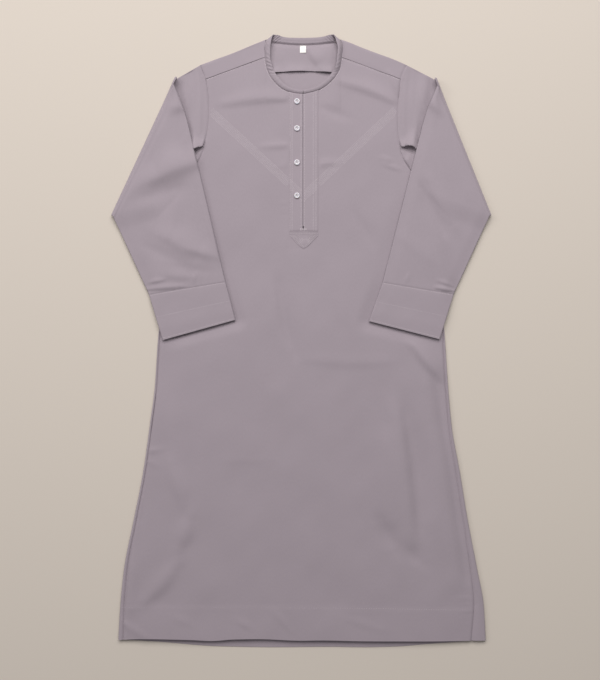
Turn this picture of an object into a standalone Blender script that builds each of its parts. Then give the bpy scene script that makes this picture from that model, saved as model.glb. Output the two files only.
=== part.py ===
"""A thobe laid flat on its back, with both sleeves folded over its front.

Sizes are millimetres and become metres as each mesh is made. +X is the wearer's left, +Y the neck
end and +Z up. The cloth rests on z = 0, and x = y = 0 is the middle of the plan. A wall's height
or place is that of its middle surface. "Side" is -1 for the wearer's right and +1 for the left.
"""

import math
from collections import namedtuple

import bmesh
import bpy
from mathutils import Vector

MM = 0.001
COLLECTION = "thobe_robe"

# Walls, and the heights that the layers lie at.
CLOTH = 1.0  # wall of one layer
DOUBLED = 1.4  # wall of the neckband and the cuffs
FOLD_RADIUS = 1.35  # of the turned edges, where the back becomes the front
BACK_Z = CLOTH / 2
FRONT_Z = BACK_Z + 2 * FOLD_RADIUS
PLY = 1.3  # rise on to cloth that lies on other cloth
SLEEVE_AXIS_Z = FRONT_Z + 1.25  # axis that each sleeve is folded over
SEAM_GAP = 0.6
NECK_GAP = 1.0
ARC_STEPS = 4  # facets round a turned edge

# Heights on the body where its shape changes.
BASE_Y = 375  # rows above this one close up towards the shoulder and the neck
UNDERARM_Y = 285
UNDERARM_NOTCH = 3.2  # the turned sides stop this far below the sleeves
SHOULDER_Y = 498  # lower end of the forward shoulder seams and of the yoke seam
PLACKET_FOOT_Y = 209
SLIT_FOOT_Y = 214

Side = namedtuple("Side", "y right left right_lap left_lap")
SIDES = (  # folded edges of the body, and how far the side seams lie in from them
    Side(-567, -347, 349, 9.5, 27),
    Side(-499, -343, 345, 7.6, 18),
    Side(-430, -336, 332.5, 6.6, 12.4),
    Side(-339, -318, 315, 5.7, 8.5),
    Side(-248, -300, 300, 4.5, 7.5),
    Side(-157, -287, 284, 3.5, 5.5),
    Side(-88, -278, 278, 3.0, 4.5),
    Side(3, -272, 272, 3.0, 3.5),
    Side(98, -262, 264, 3.0, 3.0),
    Side(193, -247, 250, 3.0, 3.0),
    Side(UNDERARM_Y, -225, 231, 3.0, 3.0),
)

Armhole = namedtuple("Armhole", "y right left")
ARMHOLES = (  # front armhole seams
    Armhole(UNDERARM_Y, -222, 228),
    Armhole(310, -214, 219),
    Armhole(330, -203, 203),
    Armhole(350, -192, 191.5),
    Armhole(BASE_Y, -184, 185.5),
    Armhole(400, -179, 182.5),
    Armhole(430, -176, 182),
    Armhole(460, -176.5, 183.5),
    Armhole(485, -179.5, 186),
    Armhole(500, -182, 188),
    Armhole(514, -187.5, 193.5),
    Armhole(525, -191, 198.5),
)
BACK_EASE = 4  # how much less the back armhole is scooped

SHOULDER_FOLD = (  # x, y along the top edge, from the armhole to the neck on each side
    (-191, 524.4), (-162.5, 535), (-132, 546), (-101.7, 558.6), (-71.3, 571), (-62.7, 573.8),
    (69.4, 573.8), (80.8, 571), (111.2, 558.6), (141.6, 547), (172, 536), (198.5, 524.4),
)
YOKE_SEAM = ((-185, SHOULDER_Y), (-50, 511.5), (3, 514), (56, 511.5), (192, SHOULDER_Y))
FRONT_HEM = (
    (-347, -566.5), (-171, -569.8), (-76, -567.3), (54, -569), (137, -570.8), (240, -572.9),
    (349, -567.7),
)
BACK_HEM = (
    (-347, -566.5), (-271, -571.1), (-160, -579.5), (-48, -581.3), (54, -580.5), (116, -581.4),
    (178, -580), (240, -575), (349, -567.7),
)

Neck = namedtuple("Neck", "seam_x seam_y seam_z rim_x rim_y rim_z bow")
RIM_Z = FRONT_Z + 4.6
NECK = (  # stations of the neck seam and of the band's rim, from the slit round the back
    Neck(2.4, 469.9, FRONT_Z, 2.4, 476.4, RIM_Z, 0.8),
    Neck(-7, 470.4, FRONT_Z, -6.2, 477.2, RIM_Z, 0.8),
    Neck(-17.5, 472.3, FRONT_Z, -15.8, 479.4, RIM_Z, 0.8),
    Neck(-22.8, 473.8, FRONT_Z, -20.3, 481, RIM_Z, 0.8),
    Neck(-31.2, 477.1, FRONT_Z, -27, 484.2, RIM_Z, 0.8),
    Neck(-42.8, 484.9, FRONT_Z, -37, 492.3, RIM_Z, 0.8),
    Neck(-53.2, 495.9, FRONT_Z, -45, 501.5, RIM_Z, 0.8),
    Neck(-60.8, 507.3, FRONT_Z, -51, 511, RIM_Z, 0.8),
    Neck(-66.5, 523.5, FRONT_Z, -56, 524, 7.7, 0.8),
    Neck(-69, 539.5, FRONT_Z, -59.5, 538.1, 7.6, 0.8),
    Neck(-70.3, 557.7, FRONT_Z, -59.3, 554.5, 7.0, 1.0),
    Neck(-68.4, 568, FRONT_Z, -57.6, 567.2, 6.4, 1.3),
    Neck(-62.7, 573.8, 1.85, -52.8, 580.2, 4.0, 2.3),
    Neck(-56, 566.2, 1.15, -44.7, 579.7, 2.2, 3.1),
    Neck(-44.7, 565.3, 1.15, -35.5, 577.2, 1.4, 3.6),
    Neck(-21.9, 563, 1.15, -21.9, 575.5, 1.2, 3.9),
    Neck(2.9, 562, 1.15, 2.9, 575.1, 1.2, 4.0),
    Neck(27.6, 563, 1.15, 28.5, 575.9, 1.2, 3.9),
    Neck(50.4, 565.3, 1.15, 43.1, 577.6, 1.4, 3.6),
    Neck(61.8, 566.2, 1.15, 52.5, 579.7, 2.2, 3.1),
    Neck(69.4, 573.8, 1.85, 60.2, 580.2, 4.0, 2.3),
    Neck(76, 568, FRONT_Z, 65.6, 567.2, 6.4, 1.3),
    Neck(77.9, 557.7, FRONT_Z, 67.6, 554.5, 7.0, 1.0),
    Neck(76, 539.5, FRONT_Z, 67.4, 536.5, 7.6, 0.8),
    Neck(73.2, 521.6, FRONT_Z, 64.3, 519.6, 7.7, 0.8),
    Neck(66.3, 506.4, FRONT_Z, 57.5, 509.5, RIM_Z, 0.8),
    Neck(56, 494, FRONT_Z, 49.7, 499.2, RIM_Z, 0.8),
    Neck(43.1, 483.2, FRONT_Z, 39, 490.3, RIM_Z, 0.8),
    Neck(31.35, 476.7, FRONT_Z, 28.5, 483.6, RIM_Z, 0.8),
    Neck(18, 472.6, FRONT_Z, 16.6, 479.4, RIM_Z, 0.8),
    Neck(5.2, 470, FRONT_Z, 5, 476.8, RIM_Z, 0.8),
    Neck(3.6, 469.9, FRONT_Z, 3.6, 476.6, RIM_Z, 0.8),
)
FRONT_OF_NECK = {-1: slice(8, 0, -1), 1: slice(30, 23, -1)}  # stations on the front, downwards
SHOULDER_STATION = {-1: 9, 1: 23}  # where each forward shoulder seam ends
OVER_SHOULDER = {-1: slice(9, 13), 1: slice(23, 19, -1)}  # stations over each shoulder fold
BACK_OF_NECK = slice(13, 20)  # stations on the back layer

PLACKET_RIGHT, PLACKET_LEFT = -22.8, 31.35  # outer edges of the two strips
SLIT_RIGHT, SLIT_LEFT = -17.5, 5.2  # edges of the opening cut in the front
STRIP_SETBACK = 0.25  # below the neck seam
STRIP_UPPER = ((PLACKET_RIGHT, 1), (-14.9, 1), (-2.2, 1), (2.0, 1))
STRIP_UNDER = ((-17.0, 0), (-4.0, 0), (2.4, 0), (4.4, 1), (18.0, 1), (PLACKET_LEFT, 1))
TAB_TOP_Y, TAB_SHOULDER_Y, TAB_POINT_Y = 208.4, 200.5, 175.8
FACING_TOPS = ((-82, 561.5), (-69, 561.5)), ((76, 561.5), (88, 561.5))  # beyond the neck
FACING_BELOW, FACING_SHORT = 1.2, 0.2  # below the yoke seam, and below the neck seam

BUTTON_X = -8.55
BUTTON_YS = (455.0, 403.7, 339.1, 276.4)
BUTTON_RADIUS = 5.25
BUTTON_HEIGHT = 2.4
BUTTON_REST = 0.35  # clearance under a button
HOLE_RADIUS = 0.75
HOLE_PITCH = 2.3

LABEL = (2.85, 547.4, 11.4, 13.6)  # middle x, lower y, width, length
LABEL_Z = BACK_Z + 2 * PLY + 0.05

Sleeve = namedtuple("Sleeve", "side cap underarm fold_top elbow wrist_in wrist_out end_in end_out")
SLEEVES = {
    "right": Sleeve(-1, (-191, 524.4), (-225, 286), (-239.4, 500.7), (-361, 239.4),
                    (-144.4, 113), (-288.8, 89.3), (-125.6, 40.9), (-262, 2.9)),
    "left": Sleeve(1, (198.5, 524.4), (231, 286), (255.6, 498.8), (360, 239.4),
                   (154, 112), (288, 89.7), (128, 38.4), (260.9, 4.4)),
}
SAG = 4.9  # how far a folded sleeve comes down beside the body, to the surface
SAG_RUN = 38  # over this distance
FLAT_RINGS, CURL_STEPS, FOLDED_RINGS = 3, 5, 9  # cells along a sleeve

Fold = namedtuple("Fold", "x0 y0 x1 y1 half_width height")
BODY_FOLDS = (
    Fold(-150, 450, -44, 458, 9, 2.2),  # across the right chest
    Fold(98, 486, 172, 457, 9, 2.2),  # down from the left shoulder
    Fold(94, 474, 168, 444, 8, -0.9),
    Fold(46, 417, 88, 402, 9, 1.5),
    Fold(105, 236, 131, 190, 9, -0.9),
    Fold(-30, 115, -9, -14, 15, 1.7),  # down the middle
    Fold(22, -35, 168, -36, 14, 1.5),  # across the left thigh
    Fold(206, -14, 246, -58, 11, 1.6),
    Fold(185, -102, 226, -334, 14, 3.2),  # the long fold on the left
    Fold(264, -90, 312, -430, 11, -0.9),  # beside the left seam
    Fold(147, -299, 178, -386, 12, 1.8),
    Fold(-202, -350, -280, -489, 16, 2.6),  # towards the right corner of the hem
    Fold(-254, -178, -229, -324, 14, 1.7),
    Fold(-56, -514, -24, -546, 11, 1.2),
)
SLEEVE_FOLDS = (
    Fold(-288, 304, -206, 342, 15, 2.4),  # right upper arm
    Fold(-284, 278, -202, 303, 12, -0.8),
    Fold(-264, 210, -180, 168, 14, 2.0),  # right forearm
    Fold(-263, 183, -170, 136, 11, -0.8),
    Fold(236, 455, 274, 428, 12, 1.8),  # left upper arm
    Fold(244, 298, 284, 222, 14, 2.2),  # left forearm
    Fold(226, 288, 266, 210, 10, -0.8),
)
EDGE_CALM, SLEEVE_CALM, PLACKET_CALM = 26, 26, 22  # folds die away over these distances
PLACKET_SHARE = 0.12  # of a fold's height that the stiff placket lets through

LEVELS = (  # rows of the front, from the hem to where it starts to close up
    -567, -537, -506, -470, -434, -398, -362, -326, -290, -254, -211, -168, -125, -82, -39, 4, 47,
    90, 133, TAB_POINT_Y, TAB_SHOULDER_Y, PLACKET_FOOT_Y, SLIT_FOOT_Y, 240, 263, UNDERARM_Y, 308,
    330, 352, BASE_Y,
)
RISES = (0.25, 0.5, 0.75, 1.0)  # rows above BASE_Y, as shares of the way to the top edge
ROW_COUNT = len(LEVELS) + len(RISES)
HEM_ROWS = 3  # rows that follow the hem's line
SHOULDER_COLUMNS = (0.0, 0.25, 0.5, 0.75)  # columns out on the shoulder, from the armhole
SPREAD_FROM, SPREAD_TO = 175, -180  # columns even out between these heights

COLOURS = {  # sRGB-like base colour, roughness
    "suiting": ((0.33, 0.275, 0.31), 0.75),
    "button": ((0.72, 0.69, 0.68), 0.35),
    "label": ((0.75, 0.73, 0.71), 0.6),
}


# Curves and folds -------------------------------------------------------------------------------

def mix(a, b, share):
    return a + (b - a) * share


def ease(share):
    share = min(max(share, 0.0), 1.0)
    return share * share * (3 - 2 * share)


def through(points, at):
    """Height at `at` of a smooth curve through (place, height) points, level past both ends."""
    if at <= points[0][0]:
        return points[0][1]
    if at >= points[-1][0]:
        return points[-1][1]
    steps = [(b[1] - a[1]) / (b[0] - a[0]) for a, b in zip(points, points[1:])]

    def slope(k):
        if k in (0, len(steps)):
            return steps[min(k, len(steps) - 1)]
        before, after = steps[k - 1], steps[k]
        return 2 * before * after / (before + after) if before * after > 0 else 0.0

    k = max(k for k in range(len(steps)) if points[k][0] <= at)
    (x0, y0), (x1, y1) = points[k], points[k + 1]
    width = x1 - x0
    t = (at - x0) / width
    return (y0 * (1 + 2 * t) * (1 - t) ** 2 + y1 * t * t * (3 - 2 * t)
            + width * t * (1 - t) * (slope(k) * (1 - t) - slope(k + 1) * t))


def named(side):
    return "right" if side < 0 else "left"


def side_fold(side, y):
    return through([(row.y, getattr(row, named(side))) for row in SIDES], y)


def side_seam(side, y):
    lap = through([(row.y, getattr(row, named(side) + "_lap")) for row in SIDES], y)
    return side_fold(side, y) - side * lap


def armhole(side, y, back=False):
    x = through([(row.y, getattr(row, named(side))) for row in ARMHOLES], y)
    if back:
        top = ARMHOLES[-1].y
        x += side * BACK_EASE * ease((y - UNDERARM_Y + 15) / 40) * ease((top - y) / 40)
    return x


def outside(polygon, x, y):
    """Distance from a point to a polygon, 0 inside it."""
    inside = False
    nearest = math.inf
    for (x0, y0), (x1, y1) in zip(polygon, polygon[1:] + polygon[:1]):
        if (y0 > y) != (y1 > y) and x < x0 + (y - y0) * (x1 - x0) / (y1 - y0):
            inside = not inside
        run = (x1 - x0) ** 2 + (y1 - y0) ** 2
        t = min(max(((x - x0) * (x1 - x0) + (y - y0) * (y1 - y0)) / run, 0), 1)
        nearest = min(nearest, math.hypot(x - mix(x0, x1, t), y - mix(y0, y1, t)))
    return 0.0 if inside else nearest


def folds_at(folds, x, y):
    """Height of all of a table's soft folds at a point."""
    total = 0.0
    for fold in folds:
        length = math.hypot(fold.x1 - fold.x0, fold.y1 - fold.y0)
        ux, uy = (fold.x1 - fold.x0) / length, (fold.y1 - fold.y0) / length
        along = (x - fold.x0) * ux + (y - fold.y0) * uy
        across = (y - fold.y0) * ux - (x - fold.x0) * uy
        past = max(-along, along - length, 0)
        swell = 0.6 + 0.4 * math.sin(math.pi * min(max(along / length, 0), 1))
        total += (fold.height * swell * math.exp(-((across / fold.half_width) ** 2))
                  * math.exp(-((past / (1.5 * fold.half_width)) ** 2)))
    return total


def sleeve_outline(sleeve):
    """Plan of the part of a sleeve that is folded over, with its cuff."""
    return [sleeve.fold_top, sleeve.wrist_in, sleeve.end_in, sleeve.end_out, sleeve.wrist_out,
            sleeve.elbow]


def front_top(x):
    """Height of the front's upper edge, along the shoulder seams and the neck seam."""
    ends = SHOULDER_STATION[-1], SHOULDER_STATION[1]
    neck = sorted((n.seam_x, n.seam_y) for n in NECK[:ends[0] + 1] + NECK[ends[1]:])
    right, left = [(armhole(side, SHOULDER_Y), SHOULDER_Y) for side in (-1, 1)]
    return through([right, *neck, left], x)


def front_relief(x, y):
    """Height of the body's folds, which die away at seams, under the sleeves and at the placket."""
    height = folds_at(BODY_FOLDS, x, y)
    for side in (-1, 1):
        edge = side_seam(side, y) if y < UNDERARM_Y else armhole(side, y)
        height *= ease(side * (edge - x) / EDGE_CALM)
    for sleeve in SLEEVES.values():
        height *= ease(outside(sleeve_outline(sleeve), x, y) / SLEEVE_CALM)
    if y > 0:
        height *= ease((front_top(x) - y) / EDGE_CALM)
    if y > TAB_POINT_Y:
        beside = max(PLACKET_RIGHT - x, x - PLACKET_LEFT, 0)
        height *= mix(PLACKET_SHARE, 1, ease(beside / PLACKET_CALM))
    elif y > TAB_POINT_Y - PLACKET_CALM:
        height *= mix(PLACKET_SHARE, 1, ease((TAB_POINT_Y - y) / PLACKET_CALM))
    return height


def front_z(x, y):
    return FRONT_Z + front_relief(x, y)


def neck_edge(station, gap):
    """A point on the neck seam, moved by `gap` away from the band."""
    away = Vector((station.seam_x - station.rim_x, station.seam_y - station.rim_y)).normalized()
    return station.seam_x + away.x * gap, station.seam_y + away.y * gap


# Making objects ---------------------------------------------------------------------------------

def material(name):
    colour, roughness = COLOURS[name]
    made = bpy.data.materials.get(name) or bpy.data.materials.new(name)
    made.use_nodes = True
    shader = made.node_tree.nodes["Principled BSDF"]
    shader.inputs["Base Color"].default_value = (*colour, 1)
    shader.inputs["Roughness"].default_value = roughness
    shader.inputs["Metallic"].default_value = 0
    return made


def add_object(name, mesh, finish, collection=COLLECTION):
    piece = bpy.data.objects.new(name, mesh)
    if not mesh.materials:
        mesh.materials.append(material(finish))
    bpy.data.collections[collection].objects.link(piece)
    return piece


def sheet(name, columns, rows, place, wall=CLOTH, keep=None, tube=False, even=True,
          finish="suiting"):
    """A cloth wall: a grid of cells, with the point of column i and row j at place(i, j).

    An even wall keeps its thickness round tight turns, where it may grow spikes.
    """
    shape = bmesh.new()
    bmesh.ops.create_grid(shape, x_segments=columns, y_segments=rows, size=0.5)
    cells = {}
    for face in shape.faces:
        middle = face.calc_center_median()
        i, j = int((middle.x + 0.5) * columns), int((middle.y + 0.5) * rows)
        cells[face] = i, j
    for vertex in shape.verts:
        i, j = round((vertex.co.x + 0.5) * columns), round((vertex.co.y + 0.5) * rows)
        vertex.co = Vector(place(i, j)) * MM
    if keep:
        cut = [face for face, cell in cells.items() if not keep(*cell)]
        bmesh.ops.delete(shape, geom=cut, context="FACES")
    if tube:
        bmesh.ops.remove_doubles(shape, verts=shape.verts[:], dist=0.00001)
    mesh = bpy.data.meshes.new(name)
    shape.to_mesh(mesh)
    shape.free()
    mesh.shade_smooth()
    piece = add_object(name, mesh, finish)
    solid = piece.modifiers.new("wall", "SOLIDIFY")
    solid.thickness = wall * MM
    solid.offset = 0
    solid.use_even_offset = even
    solid.use_quality_normals = True
    return piece


# Body -------------------------------------------------------------------------------------------

def hem_shift(hem, x, level):
    """How far a row near the hem moves to follow the hem's line."""
    share = 1 - LEVELS.index(level) / HEM_ROWS if level in LEVELS[:HEM_ROWS] else 0
    return (through(hem, x) - LEVELS[0]) * share


def row_at(j, top_y):
    """Height of row j of the front in a column whose top is at top_y."""
    if j < len(LEVELS):
        return LEVELS[j]
    return mix(BASE_Y, top_y, RISES[j - len(LEVELS)])


def side_rows(lowest):
    """Heights of the front's rows at the armhole and the side, from `lowest` up."""
    return [row_at(j, SHOULDER_Y) for j in range(ROW_COUNT) if row_at(j, SHOULDER_Y) >= lowest]


def front_top_points():
    """The front's upper edge, from the right armhole round the neck to the left armhole."""
    shoulders = {}
    for side in (-1, 1):
        x0 = armhole(side, SHOULDER_Y) - side * SEAM_GAP / 2
        corner = NECK[SHOULDER_STATION[side]]
        x1, y1 = corner.seam_x + side * NECK_GAP / 2, corner.seam_y
        shoulders[side] = [(mix(x0, x1, u), mix(SHOULDER_Y, y1, u) - SEAM_GAP / 2)
                           for u in SHOULDER_COLUMNS]
        shoulders[side].append((x1, y1 - SEAM_GAP / 2))
    neck = [neck_edge(station, NECK_GAP / 2)
            for side in (-1, 1) for station in NECK[FRONT_OF_NECK[side]]]
    return shoulders[-1] + neck + shoulders[1][::-1]


def front_panel():
    top = front_top_points()
    marks = [min(range(len(top)), key=lambda i: abs(top[i][0] - x))
             for x in (PLACKET_RIGHT, SLIT_RIGHT, SLIT_LEFT, PLACKET_LEFT)]
    edges = [0, marks[0], marks[3], len(top) - 1]

    def column_x(i, y):
        """Where column i crosses height y, between the side edges and the placket."""
        xs = []
        for side in (-1, 1):
            edge = side_seam(side, y) if y <= UNDERARM_Y else armhole(side, y)
            xs.append(edge - side * SEAM_GAP / 2)
        stops = [xs[0], top[edges[1]][0], top[edges[2]][0], xs[1]]
        zone = 0 if i <= edges[1] else 1 if i <= edges[2] else 2
        first, last = edges[zone], edges[zone + 1]
        share = (top[i][0] - top[first][0]) / (top[last][0] - top[first][0])
        fixed = mix(stops[zone], stops[zone + 1], share)
        even = mix(xs[0], xs[1], i / (len(top) - 1))
        return mix(fixed, even, ease((SPREAD_FROM - y) / (SPREAD_FROM - SPREAD_TO)))

    def place(i, j):
        y = row_at(j, top[i][1])
        x = column_x(i, row_at(j, SHOULDER_Y))
        if j == ROW_COUNT - 1:
            x = top[i][0]
        if j < HEM_ROWS:
            y += hem_shift(FRONT_HEM, x, LEVELS[j])
        return x, y, front_z(x, y)

    slit_row = LEVELS.index(SLIT_FOOT_Y)
    return sheet("front_panel", len(top) - 1, ROW_COUNT - 1, place,
                 keep=lambda i, j: j < slit_row or not marks[1] <= i < marks[2])


BACK_COLUMNS = 10  # cells across the flat of the back


def back_panel():
    rows = side_rows(LEVELS[0])
    wrap = ARC_STEPS + 1  # columns turned up at each side: the arc and the lap
    columns = BACK_COLUMNS + 2 * wrap
    last = len(rows) - 1

    def flat_edge(side, y):
        if y < UNDERARM_Y:
            return side_fold(side, y) - side * FOLD_RADIUS
        return armhole(side, y, back=True) - side * SEAM_GAP / 2

    def place(i, j):
        y = rows[j]
        turn = wrap - i if i < wrap else i - (columns - wrap)
        if turn > 0:
            side = -1 if i < wrap else 1
            y = min(y, UNDERARM_Y - UNDERARM_NOTCH)
            x = side_seam(side, y) + side * SEAM_GAP / 2
            z = front_z(x, y)
            if turn <= ARC_STEPS:
                angle = math.pi * turn / ARC_STEPS
                x = side_fold(side, y) - side * FOLD_RADIUS * (1 - math.sin(angle))
                z = BACK_Z + FOLD_RADIUS * (1 - math.cos(angle))
        else:
            share = (i - wrap) / BACK_COLUMNS
            x = mix(flat_edge(-1, y), flat_edge(1, y), share)
            z = BACK_Z
            if j == last:
                y = through(YOKE_SEAM, x) - SEAM_GAP / 2
        if j < HEM_ROWS:
            hem = FRONT_HEM if turn > ARC_STEPS / 2 else BACK_HEM
            y += hem_shift(hem, x, rows[j])
        return x, y, z

    underarm = rows.index(UNDERARM_Y)
    return sheet("back_panel", columns, last, place,
                 keep=lambda i, j: j < underarm or wrap <= i < columns - wrap)


# Yoke -------------------------------------------------------------------------------------------

YOKE_SHARES = (0.0, 0.25, 0.5, 0.75, 1.0)  # columns of each shoulder, from armhole to neck
YOKE_ROWS = ARC_STEPS + 4  # cells from the yoke seam over the fold to the forward seam
YOKE_FLARE = 3  # outwards at the back seam
YOKE_NECK = (  # station of OVER_SHOULDER, how far outwards and upwards from it, height
    (3, -2.2, -5.0, BACK_Z), (3, -1.4, -1.6, BACK_Z + 0.5), (3, 2.8, -0.8, 1.65),
    (3, 5.9, -2.5, FRONT_Z - 0.35), (2, 0, 0, FRONT_Z), (1, 0, 0, FRONT_Z),
)


def halfway(a, b):
    return tuple(mix(p, q, 0.5) for p, q in zip(a, b))


def yoke_column(side, u):
    """Points of one shoulder column, from the back yoke seam to the forward shoulder seam."""
    stations = NECK[OVER_SHOULDER[side]]
    corner = [neck_edge(station, NECK_GAP / 2) for station in stations]
    tip_x = SHOULDER_FOLD[0][0] if side < 0 else SHOULDER_FOLD[-1][0]
    gap = side * SEAM_GAP / 2
    seam_x = mix(armhole(side, SHOULDER_Y, back=True) - gap, corner[3][0] + side * YOKE_FLARE, u)
    fold_x = mix(tip_x - gap, corner[3][0], u)
    fold_y = through(SHOULDER_FOLD, fold_x)
    back = (seam_x, through(YOKE_SEAM, seam_x) + SEAM_GAP / 2, BACK_Z)
    front = (mix(armhole(side, SHOULDER_Y) - gap, corner[0][0], u),
             mix(SHOULDER_Y, corner[0][1], u) + SEAM_GAP / 2, FRONT_Z)
    if u == 1.0:  # beside the neckband, which this column follows over the fold
        turn = [(corner[k][0] + side * out, corner[k][1] + up, z) for k, out, up, z in YOKE_NECK]
    else:
        angles = [math.pi * k / ARC_STEPS for k in range(ARC_STEPS + 1)]
        turn = [(fold_x, fold_y - FOLD_RADIUS * (1 - math.sin(angle)),
                 BACK_Z + FOLD_RADIUS * (1 - math.cos(angle))) for angle in angles]
        turn.append(halfway(turn[-1], front))
    return [back, halfway(back, turn[0]), *turn, front]


def back_yoke():
    right = [yoke_column(-1, u) for u in YOKE_SHARES]
    left = [yoke_column(1, u) for u in reversed(YOKE_SHARES)]
    middle = []
    for station in NECK[BACK_OF_NECK]:
        x, y = neck_edge(station, NECK_GAP / 2)
        seam_y = through(YOKE_SEAM, x) + SEAM_GAP / 2
        column = [(x, seam_y, BACK_Z), (x, mix(seam_y, y, 0.5), BACK_Z), (x, y, BACK_Z)]
        middle.append(column + column[-1:] * (YOKE_ROWS - 2))
    columns = right + middle + left
    neck = range(len(right) - 1, len(right) + len(middle))
    return sheet("back_yoke", len(columns) - 1, YOKE_ROWS, lambda i, j: columns[i][j],
                 keep=lambda i, j: j < 2 or i not in neck)


def yoke_facing():
    stations = [neck_edge(station, NECK_GAP / 2) for station in NECK[BACK_OF_NECK]]
    tops = [*FACING_TOPS[0], *stations, *FACING_TOPS[1]]

    def place(i, j):
        x, top_y = tops[i]
        low_y = through(YOKE_SEAM, x) - FACING_BELOW
        return x, mix(low_y, top_y - FACING_SHORT, j / 2), BACK_Z + PLY

    return sheet("yoke_facing", len(tops) - 1, 2, place)


# Neckband, placket and label --------------------------------------------------------------------

BAND_SHARES = (0.0, 0.3, 0.65, 1.0)


def neckband():
    def place(i, j):
        station = NECK[i]
        share = BAND_SHARES[j]
        x, y = neck_edge(station, -NECK_GAP / 2)
        bow = station.bow * math.sin(math.pi * share)
        return (mix(x, station.rim_x, share), mix(y, station.rim_y, share),
                mix(station.seam_z, station.rim_z, share) + bow)

    return sheet("neckband", len(NECK) - 1, len(BAND_SHARES) - 1, place, wall=DOUBLED, even=False)


def placket_strip(name, across):
    """A strip on the front's rows; `across` has each column's x and its rise in plies.

    Columns with no rise lie in the slit, so they stop at its foot.
    """
    first = LEVELS.index(PLACKET_FOOT_Y)
    slit = LEVELS.index(SLIT_FOOT_Y) - first

    def place(i, j):
        x, plies = across[i]
        y = row_at(first + j, front_top(x) - NECK_GAP / 2 - STRIP_SETBACK)
        if j == slit and x < SLIT_LEFT:
            y += SEAM_GAP
        return x, y, front_z(x, y) + PLY * plies

    return sheet(name, len(across) - 1, ROW_COUNT - 1 - first, place,
                 keep=lambda i, j: j >= slit or across[i][1])


def placket_point():
    middle = (PLACKET_RIGHT + PLACKET_LEFT) / 2
    xs = [mix(PLACKET_RIGHT, PLACKET_LEFT, share) for share in (0, 0.25, 0.5, 0.75, 1)]

    def place(i, j):
        x = xs[i]
        reach = abs(x - middle) / (PLACKET_LEFT - middle)
        y = mix(mix(TAB_POINT_Y, TAB_SHOULDER_Y, reach), TAB_TOP_Y, j / 2)
        return x, y, front_z(x, y) + PLY

    return sheet("placket_point", len(xs) - 1, 2, place)


def size_label():
    x, y, width, length = LABEL
    return sheet("size_label", 1, 1,
                 lambda i, j: (x + (i - 0.5) * width, y + j * length, LABEL_Z),
                 finish="label")


# Sleeves and cuffs ------------------------------------------------------------------------------

def sleeve_loop(ys):
    """Points round a flattened tube: share across it, height of its layer, and bulge at an end."""
    shares = [(ys[0] - y) / (ys[0] - ys[-1]) for y in ys]
    middle = (FRONT_Z + BACK_Z) / 2
    angles = [math.pi * k / ARC_STEPS for k in range(1, ARC_STEPS)]
    loop = [(share, FRONT_Z, 0) for share in shares]
    loop += [(1, middle + FOLD_RADIUS * math.cos(a), math.sin(a)) for a in angles]
    loop += [(share, BACK_Z, 0) for share in reversed(shares)]
    loop += [(0, middle - FOLD_RADIUS * math.cos(a), -math.sin(a)) for a in angles]
    return loop + loop[:1]


class Crossing:
    """A line across a sleeve from its upper edge to its lower edge, set in for the turned edges."""

    def __init__(self, upper, lower, upper_edge, lower_edge):
        upper, lower = Vector(upper), Vector(lower)
        self.along = (lower - upper).normalized()
        self.insets = [FOLD_RADIUS / abs(self.along.cross(Vector(edge).normalized()))
                       for edge in (upper_edge, lower_edge)]
        self.upper = upper + self.along * self.insets[0]
        self.lower = lower - self.along * self.insets[1]

    def at(self, share, bulge):
        inset = self.insets[0 if bulge < 0 else 1]
        return self.upper.lerp(self.lower, share) + self.along * bulge * inset


def folded_z(sleeve, height, x, y):
    """Height of a layer once it is folded over, sagging to the surface beside the body."""
    start, end = Vector(sleeve.underarm), Vector(sleeve.elbow)
    along = (end - start).normalized()
    below = sleeve.side * along.cross(Vector((x, y)) - start) * -1
    beside = sleeve.side * (x - side_fold(sleeve.side, y))
    return 2 * SLEEVE_AXIS_Z - height - SAG * ease(min(below, beside) / SAG_RUN)


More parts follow.
